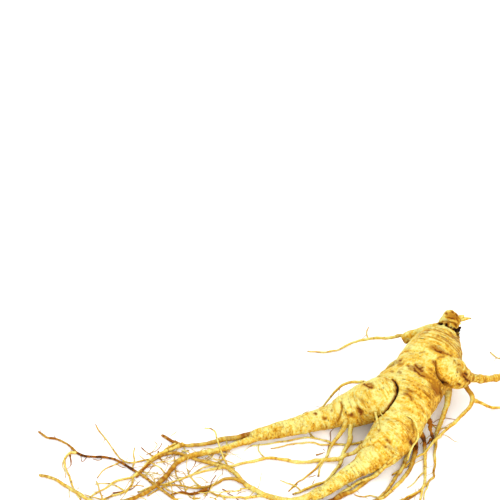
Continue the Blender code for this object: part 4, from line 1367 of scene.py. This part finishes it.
def soil_places(dark_root):
    """Where the crumbs lie: (x, y, z, size) in millimetres."""
    draw = random.Random(CRUMB_SEED)
    found = list(SOIL_LUMPS)
    crack = smooth_route(CRACKS["neck_soil"][3], FOLD_SPACING)
    for count, middles, stray in (
            (NECK_CRUMBS, crack[len(crack) // 2:], 0.3), (LUMP_CRUMBS, SOIL_LUMPS, 0.7)):
        for _ in range(count):
            place = [value + draw.gauss(0, stray) for value in draw.choice(middles)[:3]]
            found.append((*place, draw.uniform(*CRUMB_SIZE)))
    for _ in range(DARK_ROOT_CRUMBS):
        row = dark_root[int(len(dark_root) * draw.uniform(0.60, 0.86))]
        turn = draw.uniform(0, 2 * math.pi)
        size = draw.uniform(0.2, 0.45)
        reach = row[3] * 0.8
        height = max(size * 0.8, row[2] + reach * draw.uniform(-0.6, 0.8))
        found.append((row[0] + reach * math.cos(turn), row[1] + reach * math.sin(turn), height, size))
    return found


class GinsengOperator:
    """What all the operators of this file share."""

    bl_options = {"REGISTER", "UNDO"}


class GINSENG_OT_flesh(GinsengOperator, bpy.types.Operator):
    """Model the body, legs, arm and neck as one wrinkled skin"""

    bl_idname = "ginseng.flesh"
    bl_label = "Flesh"

    def execute(self, context):
        sizes = context.scene.ginseng_sizes
        flesh = model_flesh(sizes)
        carve_skin(flesh.data, sizes)
        finish_piece(flesh, skin_for("flesh_skin", context.scene.ginseng_colours), True)
        return {"FINISHED"}


class GINSENG_OT_side_roots(GinsengOperator, bpy.types.Operator):
    """Model the side roots and their fine rootlets"""

    bl_idname = "ginseng.side_roots"
    bl_label = "Side roots"

    def execute(self, context):
        thick, fine = side_root_strands(context.scene.ginseng_sizes)
        skin = skin_for("side_root_skin", context.scene.ginseng_colours)
        strand_piece("side_roots", thick, 10, 0.45, skin, True)
        strand_piece("fine_rootlets", fine, 6, 0.45, skin, True)
        return {"FINISHED"}


class GINSENG_OT_hairs(GinsengOperator, bpy.types.Operator):
    """Model the fine root hairs and the dark dead root ends"""

    bl_idname = "ginseng.hairs"
    bl_label = "Hairs"

    def execute(self, context):
        sizes = context.scene.ginseng_sizes
        thick, fine = side_root_strands(sizes)
        skin = skin_for("hair_skin", context.scene.ginseng_colours)
        strand_piece("root_hairs", hair_strands(thick + fine, sizes), 4, 0.0, skin, False)
        return {"FINISHED"}


class GINSENG_OT_stem_fibres(GinsengOperator, bpy.types.Operator):
    """Model the frayed fibres of last year's stem"""

    bl_idname = "ginseng.stem_fibres"
    bl_label = "Stem fibres"

    def execute(self, context):
        strands = [
            strand(route, number, 0.8, 0.25, 0.8, 0.0, knots=0.2)
            for number, route in enumerate(STEM_FIBRES, FIBRE_SEEDS)]
        for rows in strands:
            share = shares_of(rows)
            rows[:, 5] = 0.35 + 0.6 * share
            rows[:, 6] = 0.45 * (1 - smoothstep(share, 0.0, 0.6))
        skin = skin_for("side_root_skin", context.scene.ginseng_colours)
        strand_piece("stem_fibres", strands, 8, 0.2, skin, True)
        return {"FINISHED"}


class GINSENG_OT_soil(GinsengOperator, bpy.types.Operator):
    """Place crumbs of soil at the crown and on the darkest side root"""

    bl_idname = "ginseng.soil"
    bl_label = "Soil"

    def execute(self, context):
        thick, _ = side_root_strands(context.scene.ginseng_sizes)
        dark_root = thick[list(SIDE_ROOTS).index("long_dark")]
        master = crumb_master()
        ball = vertex_places(master.data)
        crumbs = []
        for number, (x, y, z, size) in enumerate(soil_places(dark_root)):
            crumb = master.copy()
            crumb.data = master.data.copy()
            context.collection.objects.link(crumb)
            lumpy = ball * (1 + 0.35 * noise(ball * 1.3 + number * 5.1, 40))[:, None]
            lumpy *= np.array([1.0, 0.85, 0.7]) * size * MM
            turn = np.array(Matrix.Rotation(number * 1.7, 3, "Z") @ Matrix.Rotation(number * 0.9, 3, "X"))
            lumpy = lumpy @ turn.T + np.array([x, y, z]) * MM
            lumpy[:, 2] = np.maximum(lumpy[:, 2], 0.0)
            place_vertices(crumb.data, lumpy)
            crumbs.append(crumb)
        bpy.data.objects.remove(master)
        deselect()
        for crumb in crumbs:
            crumb.select_set(True)
        context.view_layer.objects.active = crumbs[0]
        bpy.ops.object.join()
        piece = context.object
        piece.name = "soil_crumbs"
        finish_piece(piece, soil_material(context.scene.ginseng_colours), False)
        return {"FINISHED"}


def area_light(name, place, width, power, colour):
    light = bpy.data.lights.new(name, "AREA")
    light.shape = "DISK"
    light.size = width
    light.energy = power
    light.color = colour
    lamp = bpy.data.objects.new(name, light)
    bpy.context.collection.objects.link(lamp)
    lamp.location = place
    lamp.rotation_euler = (Vector(LIGHTS_AIM) - Vector(place)).to_track_quat("-Z", "Y").to_euler()


def floor_material(colour):
    """Matt white paint with a faint cloudiness."""
    make = MaterialMaker("floor_paint")
    shade = make.blend(make.noise(make.place, 0.4), colour, tuple(0.985 * channel for channel in colour))
    return make.finish({"Base Color": shade, "Roughness": 0.75, "Specular IOR Level": 0.1})


class GINSENG_OT_stage(GinsengOperator, bpy.types.Operator):
    """Lay the floor, hang the lights and set up the camera"""

    bl_idname = "ginseng.stage"
    bl_label = "Stage"

    def execute(self, context):
        scene = context.scene
        sizes = scene.ginseng_sizes
        deselect()
        bpy.ops.mesh.primitive_plane_add(size=sizes.floor_width)
        floor = context.object
        floor.name = "floor"
        floor.data.materials.append(floor_material(scene.ginseng_colours.floor))

        for name, settings in LIGHTS.items():
            area_light(name, *settings)

        world = bpy.data.worlds.new("soft_white")
        world.use_nodes = True
        backdrop = world.node_tree.nodes["Background"].inputs
        backdrop["Color"].default_value = (1.0, 1.0, 1.0, 1.0)
        backdrop["Strength"].default_value = WORLD_STRENGTH
        scene.world = world

        bpy.ops.object.camera_add(location=CAMERA_PLACE, rotation=(math.radians(CAMERA_TILT), 0.0, 0.0))
        camera = context.object
        camera.data.lens = CAMERA_LENS
        camera.data.sensor_width = 36.0
        camera.data.clip_start = 0.01
        camera.data.clip_end = 20.0
        scene.camera = camera
        scene.view_settings.view_transform = "Standard"
        scene.view_settings.look = "None"
        return {"FINISHED"}


class GINSENG_PT_panel(bpy.types.Panel):
    """Lists the operators and their values"""

    bl_idname = "GINSENG_PT_panel"
    bl_label = "Ginseng Root"
    bl_space_type = "VIEW_3D"
    bl_region_type = "UI"
    bl_category = "Ginseng"

    def draw(self, context):
        for operator in OPERATORS:
            self.layout.operator(operator.bl_idname)
        for group in (context.scene.ginseng_sizes, context.scene.ginseng_colours):
            box = self.layout.box()
            for name in group.__annotations__:
                box.prop(group, name)


OPERATORS = (
    GINSENG_OT_flesh, GINSENG_OT_side_roots, GINSENG_OT_hairs, GINSENG_OT_stem_fibres, GINSENG_OT_soil,
    GINSENG_OT_stage)
CLASSES = (GinsengSizes, GinsengColours, *OPERATORS, GINSENG_PT_panel)


def register():
    for one in CLASSES:
        bpy.utils.register_class(one)
    bpy.types.Scene.ginseng_sizes = PointerProperty(type=GinsengSizes)
    bpy.types.Scene.ginseng_colours = PointerProperty(type=GinsengColours)


def unregister():
    del bpy.types.Scene.ginseng_colours
    del bpy.types.Scene.ginseng_sizes
    for one in reversed(CLASSES):
        bpy.utils.unregister_class(one)


def main():
    register()
    bpy.ops.ginseng.flesh()
    bpy.ops.ginseng.side_roots()
    bpy.ops.ginseng.hairs()
    bpy.ops.ginseng.stem_fibres()
    bpy.ops.ginseng.soil()
    bpy.ops.ginseng.stage()


if __name__ == "__main__":
    main()
